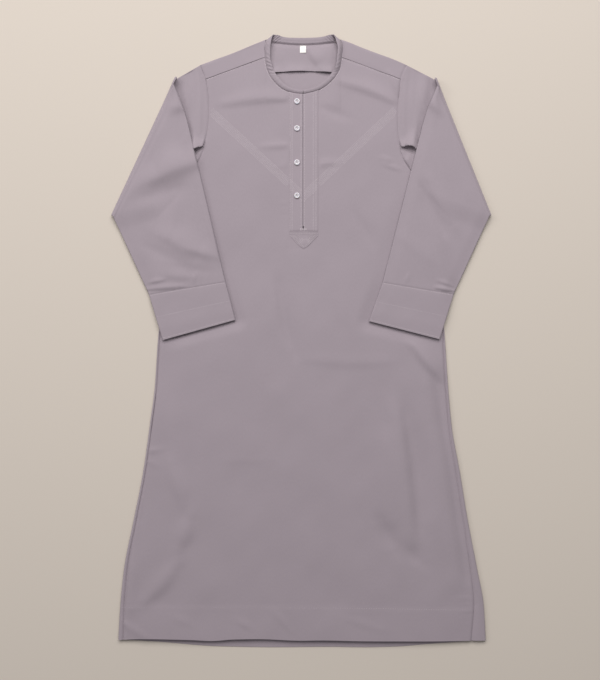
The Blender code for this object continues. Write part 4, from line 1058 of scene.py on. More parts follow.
def arm_rings(sleeve, loop, turned, peak, cell):
    """Rings from the folded edge to the cuff, over the front."""
    fold_top, elbow, wrist_in, wrist_out = map(np.array, sleeve[3:7])
    share, height, bulge = loop
    layer = (height - BACK_Z) / (FRONT_Z - BACK_Z)
    shown = (1 - layer) * (1 - np.abs(bulge))
    length = np.linalg.norm(wrist_in - fold_top)
    end = Crossing(wrist_in, wrist_out, wrist_in - fold_top, wrist_out - elbow).at(share, bulge)
    gape = bell(share * CREASE_WIDTH, GAPE_RUN)
    rings = []
    for u in spread(0, length - SEAM_GAP / 2, cell, EDGE_ROWS)[1:] / length:
        reach, left_over = u * length, (1 - u) * length
        opened = gape * ease(reach / OPEN_RUN) * bell(reach, APEX_RUN)
        plan = mix(turned, end, u) + opened[:, None] * np.array(APEX_OPEN) * (sleeve.side, 1)
        x, y = plan.T
        begun = ease(u * CALM_SHARE)
        rib = creased(SLEEVE_PUCKERS, x, y) * begun
        rib = rib + dipped(left_over, share * RIPPLE_WIDTH, CUFF_DIP)
        relief = creased(SLEEVE_CREASES, x, y) + swelled(x, y, SLEEVE_SWELL)
        relief = relief * (begun * ease(left_over / CUFF_CALM)) + rib
        relief = relief + ROLL * ease(reach / ROLL_RISE) * bell(reach - ROLL_AT, ROLL_RUN)
        levels = mix(np.array(CUFF_AIR), np.array(SLEEVE_AIR), ease(left_over / CUFF_AIR_RUN))
        lift = puffed(levels, share, mix(CREASE_WIDTH, WRIST_WIDTH, u)) * ease(reach / AIR_RISE)
        z = folded_z(sleeve, height, x, y) + relief * shown + lift * (1 - layer)
        rings.append(np.stack([x, y, z + peak * bell(reach, APEX_RUN)], axis=1))
    return rings


def sleeve_tube(name, sleeve, cell, wall, finish):
    fold_top, elbow, wrist_in, wrist_out = map(np.array, sleeve[3:7])
    shares = np.unique(np.concatenate([sleeve_shares(CREASE_WIDTH, cell), LIP_SHARES]))
    loop = flattened_loop(shares)
    along = unit(elbow - fold_top)
    inward = np.array((-sleeve.side, 0.0))
    inward = unit(inward - along * (inward @ along))
    depth = SLEEVE_AXIS_Z - BACK_Z + FOLD_ROOM
    crease = Crossing(fold_top + inward * depth, elbow + inward * depth, wrist_in - fold_top,
                      wrist_out - elbow)
    turned = crease.at(loop.share, loop.bulge)
    peak = APEX_PEAK * bell(loop.share * CREASE_WIDTH, PEAK_RUN)
    rings = [*cap_rings(sleeve, loop, turned, cell), *turn_rings(loop, turned, inward, peak),
             *arm_rings(sleeve, loop, turned, peak, cell)]
    return add_cloth(f"{name}_sleeve", np.array(rings), wall, finish, f"sleeve_{name}", tube=True)


SEAM_ROW, MIDDLE_ROW, END_ROW = 2.2, 0.5, 2.6  # stitch lines: mm in, share of depth, mm in
CUFF_GROOVE = 0.3  # how far they draw the cloth down
MIDDLE_GROOVE, SEAM_GROOVE = (1.0, 1.4), (0.6, 1.2)  # share of that, and width
CUFF_PUFF = 0.55  # how far the outer half swells between its lines
CUFF_SWELL = (1.7, 0.5, 8)  # how much closer the cloth's waves are, their height, calm at its end
CUFF_LENGTH = 75  # for the number of its rings
CUFF_EDGES = (0.005, 0.01, 0.02, 0.035)  # shares of its depth with finer rings at its ends
CUFF_START = SEAM_GAP / 150  # share of its depth that its seam's gap takes


def cuff_length(sleeve):
    return np.linalg.norm(np.subtract(sleeve.end_in, sleeve.wrist_in))


def cuff_plan(sleeve, share, bulge, depth):
    """Plan points of a cuff, at shares across it and at a depth from its seam, 0 to 1."""
    wrist_in, wrist_out, end_in, end_out = map(np.array, sleeve[5:9])
    edges = end_in - wrist_in, end_out - wrist_out
    wrist, end = Crossing(wrist_in, wrist_out, *edges), Crossing(end_in, end_out, *edges)
    return mix(wrist.at(share, bulge), end.at(share, bulge), depth)


def cuff_height(sleeve, share, height, x, y, depth):
    """Height of a cuff's layer, drawn down a little along its stitch lines."""
    length = cuff_length(sleeve)
    groove = 0
    for (part, width), place in ((MIDDLE_GROOVE, MIDDLE_ROW * length), (SEAM_GROOVE, SEAM_ROW)):
        groove = groove + part * bell(depth * length - place, width)
    puff = CUFF_PUFF * np.sin(math.pi * np.clip((depth - 0.5) * 2, 0, 1)) ** 2
    closer, swell, calm = CUFF_SWELL
    relief = swelled(x * closer, y * closer, swell) * ease((1 - depth) * calm)
    relief = relief - CUFF_GROOVE * groove + puff + dipped(depth * length, x, CUFF_DIP)
    shown = (FRONT_Z - height) / (FRONT_Z - BACK_Z)
    return folded_z(sleeve, height, x, y) + (relief + puffed(CUFF_AIR, share, WRIST_WIDTH)) * shown


def cuff_tube(name, sleeve, cell, wall, finish):
    share, height, bulge = flattened_loop(sleeve_shares(WRIST_WIDTH, cell))
    rings = []
    for depth in mix(CUFF_START, 1, spread(0, 1, cell / CUFF_LENGTH, CUFF_EDGES)):
        x, y = cuff_plan(sleeve, share, bulge, depth).T
        rings.append(np.stack([x, y, cuff_height(sleeve, share, height, x, y, depth)], axis=1))
    return add_cloth(f"{name}_cuff", np.array(rings), wall, finish, f"cuff_{name}", tube=True)


# Buttons ----------------------------------------------------------------------------------------

BUTTON_PROFILE = (  # share of the radius, share of the height, down the outside to the back
    (0.0, 0.5), (0.42, 0.5), (0.5, 0.55), (0.58, 0.82), (0.66, 0.97), (0.76, 1.0), (0.88, 0.96),
    (0.985, 0.78), (1.0, 0.58), (0.985, 0.36), (0.9, 0.14), (0.78, 0.02), (0.5, 0.0), (0.0, 0.0),
)
BUTTON_STEPS, HOLE_STEPS = 48, 16
BUTTON_REST = 0.75  # its back stands this far above the middle of the cloth's wall
BUTTON_TURN = 0.35  # radians that each is turned from the last
THREAD_PATH = (  # of a stitch through two holes: share of the way, rise as a share of a hole
    (-1.0, -0.9), (-0.96, 0.1), (-0.6, 0.34), (0, 0.42), (0.6, 0.34), (0.96, 0.1), (1.0, -0.9),
)
THREAD_RADIUS, THREAD_STEPS = 0.3, 8  # share of a hole
THREAD_BEND = 0.9  # past this share of the way it goes straight down


def new_mesh_from(shape, name):
    mesh = bpy.data.meshes.new(name)
    shape.to_mesh(mesh)
    shape.free()
    return mesh


def button_mesh(settings):
    """A turned disc with a raised, rounded rim and four thread holes."""
    radius, height = settings.diameter / 2, settings.thickness
    shape = bmesh.new()
    profile = [shape.verts.new((r * radius, 0, z * height)) for r, z in BUTTON_PROFILE]
    wires = [shape.edges.new(pair) for pair in zip(profile, profile[1:])]
    bmesh.ops.spin(shape, geom=profile + wires, cent=(0, 0, 0), axis=(0, 0, 1),
                   angle=2 * math.pi, steps=BUTTON_STEPS)
    bmesh.ops.remove_doubles(shape, verts=shape.verts[:], dist=1e-6)
    bmesh.ops.recalc_face_normals(shape, faces=shape.faces[:])
    disc = bpy.data.objects.new("disc", new_mesh_from(shape, "disc"))
    shape = bmesh.new()
    away = settings.hole_pitch / 2
    for x, y in ((away, away), (-away, away), (-away, -away), (away, -away)):
        made = bmesh.ops.create_cone(shape, cap_ends=True, segments=HOLE_STEPS, depth=3 * height,
                                     radius1=settings.hole_size / 2, radius2=settings.hole_size / 2)
        bmesh.ops.translate(shape, verts=made["verts"], vec=(x, y, height / 2))
    drill = bpy.data.objects.new("drill", new_mesh_from(shape, "drill"))
    for helper in (disc, drill):
        bpy.context.scene.collection.objects.link(helper)
    holes = disc.modifiers.new("holes", "BOOLEAN")
    holes.operation, holes.solver, holes.object = "DIFFERENCE", "EXACT", drill
    bpy.context.view_layer.update()
    finished = disc.evaluated_get(bpy.context.evaluated_depsgraph_get())
    mesh = bpy.data.meshes.new_from_object(finished)
    mesh.materials.clear()
    for helper in (disc, drill):
        bpy.data.objects.remove(helper)
    mesh.shade_smooth()
    mesh.set_sharp_from_angle(angle=math.radians(35))
    return mesh


def thread_mesh(settings):
    """The sewing thread that crosses a button from hole to hole and goes down into each one."""
    shape = bmesh.new()
    away, top = settings.hole_pitch / 2, settings.thickness * BUTTON_PROFILE[0][1]
    radius = settings.hole_size * THREAD_RADIUS
    for side in (-1, 1):
        loops = []
        for t, lift in THREAD_PATH:
            centre = Vector((t * away, side * away, top + lift * settings.hole_size))
            down = abs(t) > THREAD_BEND
            ring = []
            for k in range(THREAD_STEPS):
                angle = 2 * math.pi * k / THREAD_STEPS
                turn = math.cos(angle) * radius
                offset = (turn * down, math.sin(angle) * radius, turn * (not down))
                ring.append(shape.verts.new(centre + Vector(offset)))
            loops.append(ring)
        for a, b in zip(loops, loops[1:]):
            for k in range(THREAD_STEPS):
                after = (k + 1) % THREAD_STEPS
                shape.faces.new((a[k], a[after], b[after], b[k]))
        shape.faces.new(loops[0])
        shape.faces.new(loops[-1][::-1])
    bmesh.ops.recalc_face_normals(shape, faces=shape.faces[:])
    mesh = new_mesh_from(shape, "button_thread")
    mesh.shade_smooth()
    return mesh


def add_buttons(settings, button_finish, thread_finish):
    disc, thread = button_mesh(settings), thread_mesh(settings)
    for number, y in enumerate(BUTTON_YS, 1):
        z = float(placket_z(np.array(BUTTON_X), np.array(y))) + BUTTON_REST
        place = Matrix.Translation(Vector((BUTTON_X, y, z)) * MM)
        place = place @ Matrix.Rotation(BUTTON_TURN * number, 4, "Z")
        for name, source, finish, slot, nodes in (
                (f"shirt_button_{number}", disc, button_finish, "button", [f"button_{number}"]),
                (f"button_thread_{number}", thread, thread_finish, None, ())):
            mesh = source.copy()
            mesh.transform(place)
            add_piece(name, mesh, finish, nodes)


# Stitching --------------------------------------------------------------------------------------

STITCH_SINK = 0.12  # how far drawn stitches sink into the cloth
CLOSE_THREAD = 0.85  # share of the thread's thickness that shows in the close rows
HIDDEN_STITCH = (1.5, 0.8, 0.6)  # the hem's pitch, length and thickness as shares of a plain one's
STITCH_LEAST, STITCH_MOST = (0.86, 0.9, 0.85), (1.08, 1.12, 1.15)  # how uneven they are
SLOPE_STEP = 0.5  # for the direction that the cloth faces
PLACKET_ROWS = (-21.7, -17.8, -0.9, 5.6, 22.2, 27.4)  # x of the rows beside the placket's edges
ROW_STEP = 2.0
TAB_RINGS, TAB_RING_IN, TAB_RING_PITCH, TAB_RING_RISE = 6, 1.5, 2.6, 1.15  # round the tab
TAB_TOP_ROWS = (1.2, 4.5)  # down from its upper edge
BAR_ROWS, BAR_Y, BAR_PITCH, BAR_ENDS = 5, 211.2, 0.75, (-1.5, 8.5)  # the bar that ends the slit
BANDS = {-1: ((-172, 437), (-24, 300)), 1: ((178, 438), (32, 301))}  # from armhole to placket
BAND_STEP, BAND_CLEAR, ARMHOLE_CLEAR = 4, 0.6, 2.5
BAND_ON = {-1: (PLACKET_RIGHT + 1, UPPER_EDGE - 1), 1: (5.5, PLACKET_LEFT - 1)}  # on its strips
BAND_RUN_ON = (-12, 60)  # from a band's end, as far as its strip reaches
CUFF_ROW_ENDS, LABEL_ROW_IN = (0.015, 0.985), (1, 1.2)  # shares across; in from side and top
HEM_ROW = (-338, 322, 4.0, 1.5)  # from x to x, step, and how far below the hem's line
NECK_ROW, SHOULDER_ROW = 2.2, (2, 1.5)  # in from the seam; in from the armhole and the neck


class Guides:
    """Lines that stitches follow, as points on the cloth with the direction it faces."""

    def __init__(self):
        self.points, self.faces_up, self.edges = [], [], []

    def add(self, points, normals):
        first = len(self.points)
        self.points += [tuple(p * MM) for p in points]
        self.faces_up += [tuple(n) for n in normals]
        self.edges += [(first + k, first + k + 1) for k in range(len(points) - 1)]

    def over(self, height, x, y):
        """A line over a surface of this height, through plan points."""
        x, y = np.broadcast_arrays(np.asarray(x, float), np.asarray(y, float))
        z = height(x, y)
        slope_x = (height(x + SLOPE_STEP, y) - height(x - SLOPE_STEP, y)) / (2 * SLOPE_STEP)
        slope_y = (height(x, y + SLOPE_STEP) - height(x, y - SLOPE_STEP)) / (2 * SLOPE_STEP)
        up = np.stack([-slope_x, -slope_y, np.ones_like(z)], axis=1)
        self.add(np.stack([x, y, z], axis=1), up / np.linalg.norm(up, axis=1, keepdims=True))


def add_node(tree, kind, links=None, **settings):
    """Adds a node, sets its properties, and links or sets its inputs by name or number."""
    node = tree.nodes.new(kind)
    for key, value in settings.items():
        setattr(node, key, value)
    for key, value in (links or {}).items():
        if isinstance(value, bpy.types.NodeSocket):
            tree.links.new(value, node.inputs[key])
        else:
            node.inputs[key].default_value = value
    return node


def stitch_tree():
    """Geometry nodes that lay one stitch after another along the edges of a mesh of guides."""
    tree = bpy.data.node_groups.new("stitch_rows", "GeometryNodeTree")
    tree.interface.new_socket("Guides", in_out="INPUT", socket_type="NodeSocketGeometry")
    for name, kind in (("Pitch", "Float"), ("Length", "Float"), ("Thread", "Float"),
                       ("Seed", "Int"), ("Material", "Material")):
        tree.interface.new_socket(name, in_out="INPUT", socket_type=f"NodeSocket{kind}")
    tree.interface.new_socket("Stitches", in_out="OUTPUT", socket_type="NodeSocketGeometry")
    given = add_node(tree, "NodeGroupInput").outputs
    curve = add_node(tree, "GeometryNodeMeshToCurve", {"Mesh": given["Guides"]})
    rows = add_node(tree, "GeometryNodeResampleCurve",
                    {"Curve": curve.outputs["Curve"], "Length": given["Pitch"]}, mode="LENGTH")
    size = add_node(tree, "ShaderNodeCombineXYZ",
                    {"X": given["Length"], "Y": given["Thread"], "Z": given["Thread"]})
    bead = add_node(tree, "GeometryNodeMeshUVSphere", {"Segments": 6, "Rings": 4, "Radius": 0.5})
    stitch = add_node(tree, "GeometryNodeTransform",
                      {"Geometry": bead.outputs["Mesh"], "Scale": size.outputs["Vector"]})
    tangent = add_node(tree, "GeometryNodeInputTangent")
    lie = add_node(tree, "GeometryNodeInputNamedAttribute", {"Name": "faces_up"},
                   data_type="FLOAT_VECTOR")
    along = add_node(tree, "FunctionNodeAlignRotationToVector",
                     {"Vector": tangent.outputs["Tangent"]}, axis="X")
    turned = add_node(tree, "FunctionNodeAlignRotationToVector",
                      {"Rotation": along.outputs["Rotation"], "Vector": lie.outputs["Attribute"]},
                      axis="Z", pivot_axis="X")
    uneven = add_node(tree, "FunctionNodeRandomValue",
                      {0: STITCH_LEAST, 1: STITCH_MOST, "Seed": given["Seed"]},
                      data_type="FLOAT_VECTOR")
    laid = add_node(tree, "GeometryNodeInstanceOnPoints",
                    {"Points": rows.outputs["Curve"], "Instance": stitch.outputs["Geometry"],
                     "Rotation": turned.outputs["Rotation"], "Scale": uneven.outputs[0]})
    real = add_node(tree, "GeometryNodeRealizeInstances", {"Geometry": laid.outputs["Instances"]})
    dyed = add_node(tree, "GeometryNodeSetMaterial",
                    {"Geometry": real.outputs["Geometry"], "Material": given["Material"]})
    add_node(tree, "NodeGroupOutput", {"Stitches": dyed.outputs["Geometry"]})
    return tree


def sew(name, guides, pitch, length, thread, seed, finish):
    """Stitches along guides, as one plain mesh."""
    lines = bpy.data.meshes.new(name + "_guides")
    lines.from_pydata(guides.points, guides.edges, [])
    up = lines.attributes.new("faces_up", "FLOAT_VECTOR", "POINT")
    up.data.foreach_set("vector", np.array(guides.faces_up, np.float32).ravel())
    guide = bpy.data.objects.new(name + "_guides", lines)
    bpy.context.scene.collection.objects.link(guide)
    tree = bpy.data.node_groups.get("stitch_rows") or stitch_tree()
    rows = guide.modifiers.new("rows", "NODES")
    rows.node_group = tree
    values = {"Pitch": pitch, "Length": length, "Thread": thread, "Seed": seed, "Material": finish}
    for socket in tree.interface.items_tree:
        if socket.in_out == "INPUT" and socket.name in values:
            rows[socket.identifier] = values[socket.name]
    bpy.context.view_layer.update()
    finished = guide.evaluated_get(bpy.context.evaluated_depsgraph_get())
    mesh = bpy.data.meshes.new_from_object(finished)
    guide.modifiers.remove(rows)
    bpy.data.objects.remove(guide)
    if not len(mesh.polygons):
        raise RuntimeError(f"{name}: no stitch was made")
    mesh.shade_smooth()
    return add_piece(name, mesh, None)


def on_front(wall):
    return lambda x, y: front_z(x, y) + wall / 2 - STITCH_SINK


def on_placket(wall):
    return lambda x, y: placket_z(x, y) + wall / 2 - STITCH_SINK


def placket_guides(wall):
    """Rows beside the placket's edges and round its tab, and the bar that ends the slit."""
    guides, over = Guides(), on_placket(wall)
    for x in PLACKET_ROWS:
        ys = np.arange(PLACKET_FOOT_Y + TAB_RING_IN, front_top(np.array(x)) - ROW_STEP, ROW_STEP)
        guides.over(over, np.full(len(ys), x), ys)
    for k in range(TAB_RINGS):
        inset = TAB_RING_IN + TAB_RING_PITCH * k
        reach = PLACKET_LEFT - PLACKET_MIDDLE - inset
        xs = PLACKET_MIDDLE + reach * np.linspace(-1, 1, 25)
        guides.over(over, xs, tab_low(xs) + inset * TAB_RING_RISE)
    for down in TAB_TOP_ROWS:
        xs = np.linspace(PLACKET_RIGHT + TAB_RING_IN, PLACKET_LEFT - TAB_RING_IN, 22)
        guides.over(over, xs, TAB_TOP_Y - down)
    for k in range(BAR_ROWS):
        guides.over(over, np.linspace(*BAR_ENDS, 6), BAR_Y + BAR_PITCH * k)
    return guides


def band_rows(side, count, pitch):
    """A chest band's two ends and its direction, and how far each of its rows is shifted."""
    start, end = map(np.array, BANDS[side])
    along = unit(end - start)
    shifts = [np.array((-along[1], along[0])) * (k - (count - 1) / 2) * pitch for k in range(count)]
    return start, end, along, shifts


def band_guides(wall, count, pitch):
    """Close rows of stitches from each armhole down to the placket."""
    guides, over = Guides(), on_front(wall)
    for side in BANDS:
        start, end, along, shifts = band_rows(side, count, pitch)
        steps = spread(0, np.linalg.norm(end - start), BAND_STEP)[:, None]
        for shift in shifts:
            line = start + shift + along * steps
            x, y = line.T
            beside = (x > PLACKET_LEFT + BAND_CLEAR) | (x < PLACKET_RIGHT - BAND_CLEAR)
            within = np.abs(x) < np.abs(armhole(side, y)) - ARMHOLE_CLEAR
            guides.over(over, *line[beside & within].T)
    return guides


def band_ends_guides(wall, count, pitch):
    """The same rows where they run on over the placket's strips."""
    guides, over = Guides(), on_placket(wall)
    for side, (low, high) in BAND_ON.items():
        _, end, along, shifts = band_rows(side, count, pitch)
        for shift in shifts:
            line = end + shift + along * np.arange(*BAND_RUN_ON, ROW_STEP)[:, None]
            guides.over(over, *line[(line[:, 0] > low) & (line[:, 0] < high)].T)
    return guides


def hem_guides(wall):
    guides = Guides()
    start, end, step, down = HEM_ROW
    xs = np.arange(start, end, step)
    guides.over(on_front(wall), xs, through(HEM_LINE, xs) - down)
    return guides


def neck_guides(wall):
    """Rows below the front's neck seam and its shoulder seams."""
    guides, over = Guides(), on_front(wall)
    for side in (-1, 1):
        stations = np.linspace(SHOULDER_STATIONS[side], STRIP_STATIONS[side], 40)
        guides.over(over, *neck_edge(stations, NECK_ROW).T)
        from_armhole, from_neck = SHOULDER_ROW
        outer = np.array((armhole(side, SHOULDER_Y) - side * from_armhole, SHOULDER_Y - NECK_ROW))
        inner = neck_edge(SHOULDER_STATIONS[side], from_neck) - (0, NECK_ROW)
        guides.over(over, *mix(outer, inner, np.linspace(0, 1, 40)[:, None]).T)
    return guides


def cuff_guides(wall):
    guides = Guides()
    shares = np.linspace(*CUFF_ROW_ENDS, 45)
    for sleeve in SLEEVES.values():
        length = cuff_length(sleeve)
        for depth in (SEAM_ROW / length, MIDDLE_ROW, 1 - END_ROW / length):
            x, y = cuff_plan(sleeve, shares, np.zeros(len(shares)), depth).T
            z = cuff_height(sleeve, shares, BACK_Z, x, y, depth) + wall / 2
            guides.add(np.stack([x, y, z], axis=1), [(0.0, 0.0, 1.0)] * len(x))
    return guides


def label_guides():
    guides = Guides()
    middle, low, width, length = LABEL
    side_in, top_in = LABEL_ROW_IN
    xs = middle + (width / 2 - side_in) * np.linspace(-1, 1, 8)
    guides.over(lambda x, y: label_z(x, y) + TAPE_WALL / 2, xs, low + length - top_in)
    return guides


# Materials --------------------------------------------------------------------------------------

def new_material(name, colour, roughness, **constants):
    """A principled material whose even values are set on the shader's own sockets."""
    material = bpy.data.materials.new(name)
    material.use_nodes = True
    shader = material.node_tree.nodes["Principled BSDF"]
    shader.inputs["Base Color"].default_value = (*colour, 1)
    shader.inputs["Roughness"].default_value = roughness
    for key, value in constants.items():
        shader.inputs[key.replace("_", " ").title().replace("Ior", "IOR")].default_value = value
    return material, material.node_tree, shader


def scaled(tree, value, factor, base):
    """A value times a factor, on top of a base."""
    return add_node(tree, "ShaderNodeMath", {0: value, 1: factor, 2: base},
                    operation="MULTIPLY_ADD").outputs[0]


def dye(tree, shader, colour, tone):
    """Makes the surface this colour times a tone that varies over it."""
    dyed = add_node(tree, "ShaderNodeMix", {"Factor": 1.0, 6: (*colour, 1), 7: tone},
                    data_type="RGBA", blend_type="MULTIPLY")
    tree.links.new(dyed.outputs[2], shader.inputs["Base Color"])


def emboss(tree, shader, height, strength, depth):
    """Gives the surface a fine relief, of this depth in metres."""
    bump = add_node(tree, "ShaderNodeBump", {"Height": height, "Strength": strength,
                                             "Distance": depth})
    tree.links.new(bump.outputs["Normal"], shader.inputs["Normal"])


TWILL_ANGLE = math.radians(45)
DRAWN_THREADS = 3  # the woven threads are drawn this many times further apart, so that they show
FIBRES, PATCHES = (900, 190, 1), 14.0  # for each metre of cloth: slubs across and along, clouds
RIBS = 625 / (2 * math.pi)  # for each metre of tape, which draws them 3 mm apart instead of 0.2 mm
PEARL = 330.0  # for each metre: clouds about 3 mm across
SPUN = 2600.0


def woven_suiting(settings):
    """Polyester and viscose suiting, woven in a fine twill and pressed.

    Short viscose fibres give it a soft, low sheen and a heathered grey-mauve, and the press
    leaves it flat.
    """
    colour = tuple(settings.colour)
    material, tree, shader = new_material(
        "polyester_viscose_suiting_woven", colour, 0.72, sheen_weight=0.22, sheen_roughness=0.45,
        specular_ior_level=0.28)
    place = add_node(tree, "ShaderNodeUVMap", uv_map="cut").outputs["UV"]
    threads = 1 / (settings.thread_pitch * DRAWN_THREADS)
    turned = add_node(tree, "ShaderNodeMapping", {
        "Vector": place, "Rotation": (0, 0, TWILL_ANGLE), "Scale": (threads, threads, 1)})
    twill = add_node(tree, "ShaderNodeTexWave", {
        "Vector": turned.outputs["Vector"], "Scale": 1 / math.pi, "Distortion": 0.6,
        "Detail": 1.0, "Detail Scale": 1.2}, wave_type="BANDS", bands_direction="X")
    slub = add_node(tree, "ShaderNodeMapping", {"Vector": place, "Scale": FIBRES})
    fibres = add_node(tree, "ShaderNodeTexNoise", {
        "Vector": slub.outputs["Vector"], "Scale": 1.0, "Detail": 2.0}).outputs["Fac"]
    patches = add_node(tree, "ShaderNodeTexNoise", {
        "Vector": place, "Scale": PATCHES, "Detail": 3.0}).outputs["Fac"]
    shade, cloud = scaled(tree, fibres, 0.13, 0.935), scaled(tree, patches, 0.09, 0.955)
    both = add_node(tree, "ShaderNodeMath", {0: shade, 1: cloud}, operation="MULTIPLY")
    dye(tree, shader, colour, both.outputs[0])
    tree.links.new(scaled(tree, patches, 0.16, 0.64), shader.inputs["Roughness"])
    relief = add_node(tree, "ShaderNodeMath", {0: fibres, 1: twill.outputs["Fac"]},
                      operation="ADD")
    emboss(tree, shader, relief.outputs[0], 0.5, 0.00012)
    return material


def spun_thread(settings):
    """Core-spun polyester sewing thread, a shade paler than the cloth, with a dull lustre."""
    material, tree, shader = new_material(
        "core_spun_polyester_thread", tuple(settings.thread_colour), 0.55, sheen_weight=0.15,
        sheen_roughness=0.4, specular_ior_level=0.4)
    place = add_node(tree, "ShaderNodeTexCoord").outputs["Object"]
    plies = add_node(tree, "ShaderNodeTexNoise", {"Vector": place, "Scale": SPUN, "Detail": 1.0})
    emboss(tree, shader, plies.outputs["Fac"], 0.5, 0.00008)
    return material


def moulded_button(settings):
    """Cast polyester with a pearl filler, turned and polished: milky, with a soft bright gloss."""
    colour = tuple(settings.colour)
    material, tree, shader = new_material(
        "cast_polyester_pearl_turned", colour, 0.26, ior=1.55, coat_weight=0.35,
        coat_roughness=0.12, subsurface_weight=0.08)
    place = add_node(tree, "ShaderNodeTexCoord").outputs["Object"]
    clouds = add_node(tree, "ShaderNodeTexNoise",
                      {"Vector": place, "Scale": PEARL, "Detail": 3.0, "Distortion": 0.8})
    dye(tree, shader, colour, scaled(tree, clouds.outputs["Fac"], 0.2, 0.9))
    return material


def satin_tape():
    """Woven polyester satin tape, bare: white, with fine bright ribs across it."""
    material, tree, shader = new_material(
        "polyester_satin_tape_woven", linear("#F2EEEA"), 0.4, sheen_weight=0.1,
        specular_ior_level=0.5)
    place = add_node(tree, "ShaderNodeUVMap", uv_map="cut").outputs["UV"]
    ribs = add_node(tree, "ShaderNodeTexWave", {"Vector": place, "Scale": RIBS,
                                                "Distortion": 0.3}, bands_direction="Y")
    emboss(tree, shader, ribs.outputs["Fac"], 0.4, 0.00006)
    return material


def matt_board(settings):
    """A pale board with matt emulsion: even, with no gloss."""
    return new_material("matt_emulsion_board", tuple(settings.floor_colour), 0.95,
                        specular_ior_level=0.1)[0]


def shared(name, make, *given):
    """A material by its name, made the first time that it is asked for."""
    return bpy.data.materials.get(name) or make(*given)


def suiting(context):
    return shared("polyester_viscose_suiting_woven", woven_suiting, context.scene.thobe_cloth)


def thread(context):
    return shared("core_spun_polyester_thread", spun_thread, context.scene.thobe_stitching)


# Settings ---------------------------------------------------------------------------------------

class ThobeCloth(bpy.types.PropertyGroup):
    wall: FloatProperty(name="Wall", description="Thickness of one layer of cloth",
                        default=0.0007, min=0.0002, max=0.002, unit="LENGTH")
    lined_wall: FloatProperty(name="Lined wall", description="Thickness of band and cuffs",
                              default=0.0011, min=0.0004, max=0.003, unit="LENGTH")
    cell: FloatProperty(name="Cell", description="Distance between the points of the cloth",
                        default=0.0045, min=0.003, max=0.02, unit="LENGTH")
    thread_pitch: FloatProperty(name="Thread pitch", description="Distance between woven threads",
                                default=0.00035, min=0.0001, max=0.002, unit="LENGTH")
    colour: FloatVectorProperty(name="Colour", description="Dye of the cloth", subtype="COLOR",
                                size=3, min=0, max=1, default=linear("#9F939B"))


class ThobeStitching(bpy.types.PropertyGroup):
    pitch: FloatProperty(name="Pitch", description="Distance from one stitch to the next",
                         default=0.003, min=0.001, max=0.01, unit="LENGTH")
    length: FloatProperty(name="Stitch", description="Length of a stitch that shows",
                          default=0.0024, min=0.0005, max=0.009, unit="LENGTH")
    thickness: FloatProperty(name="Thread", description="Thickness of the sewing thread",
                             default=0.0008, min=0.0002, max=0.002, unit="LENGTH")
    close_pitch: FloatProperty(name="Close pitch", description="Stitch to stitch in the bands",
                               default=0.0023, min=0.001, max=0.01, unit="LENGTH")
    close_length: FloatProperty(name="Close stitch", description="Length of a band's stitch",
                                default=0.0019, min=0.0005, max=0.009, unit="LENGTH")
    band_rows: IntProperty(name="Band rows", description="Rows of stitches in each chest band",
                           default=7, min=1, max=12)
    band_pitch: FloatProperty(name="Band pitch", description="Distance between a band's rows",
                              default=0.0023, min=0.001, max=0.006, unit="LENGTH")
    thread_colour: FloatVectorProperty(name="Thread colour", description="Dye of the thread",
                                       subtype="COLOR", size=3, min=0, max=1,
                                       default=linear("#CDC3C8"))


class ThobeButtons(bpy.types.PropertyGroup):
    diameter: FloatProperty(name="Diameter", description="Across a button",
                            default=0.0105, min=0.006, max=0.02, unit="LENGTH")
    thickness: FloatProperty(name="Thickness", description="Height of a button's rim",
                             default=0.0024, min=0.001, max=0.005, unit="LENGTH")
    hole_pitch: FloatProperty(name="Hole pitch", description="Distance between thread holes",
                              default=0.0025, min=0.001, max=0.006, unit="LENGTH")
    hole_size: FloatProperty(name="Hole", description="Diameter of a thread hole",
                             default=0.0016, min=0.0005, max=0.003, unit="LENGTH")
    colour: FloatVectorProperty(name="Colour", description="Colour of the buttons",
                                subtype="COLOR", size=3, min=0, max=1, default=linear("#E0D9DF"))


class ThobeStage(bpy.types.PropertyGroup):
    floor_colour: FloatVectorProperty(name="Floor", description="Colour of the floor",
                                      subtype="COLOR", size=3, min=0, max=1,
                                      default=linear("#D0C6BC"))
    camera_height: FloatProperty(name="Camera height", description="Lens above the cloth",
                                 default=1.794, min=0.5, max=5, unit="LENGTH")
    light_power: FloatProperty(name="Light", description="Power of the window light",
                               default=108, min=0, max=500, unit="POWER")
    side_power: FloatProperty(name="Side light", description="Power of the panel on the right",
                              default=34, min=0, max=500, unit="POWER")
    sky: FloatProperty(name="Sky", description="Strength of the light from all round",
                       default=0.252, min=0, max=5)


# Operators --------------------------------------------------------------------------------------

FLOOR_HALF = 4.0
WINDOW_PLACE, WINDOW_SIZE = (0.0, 2.1, 2.5), (3.4, 2.0)  # a lamp's place and its width and length
SIDE_PLACE, SIDE_SIZE = (-3.4, 1.5, 2.5), (1.6, 1.6)
LAMP_COLOUR, SKY_COLOUR = (1.0, 0.99, 0.975), (0.98, 0.985, 1.0, 1)
CAMERA_X, CAMERA_Y = -0.00285, 0.00285
LENS, SENSOR = 50, 36


class ThobeBody(bpy.types.Operator):
    """Makes the front, and the back that turns round both sides to the side seams"""
    bl_idname = "thobe.body"
    bl_label = "Body"

    def execute(self, context):
        cloth = context.scene.thobe_cloth
        cell, wall, finish = cloth.cell / MM, cloth.wall / MM, suiting(context)
        back = back_panel(cell * BACK_CELL, wall, finish)
        front = front_panel(cell, wall, finish)
        return {"FINISHED"}


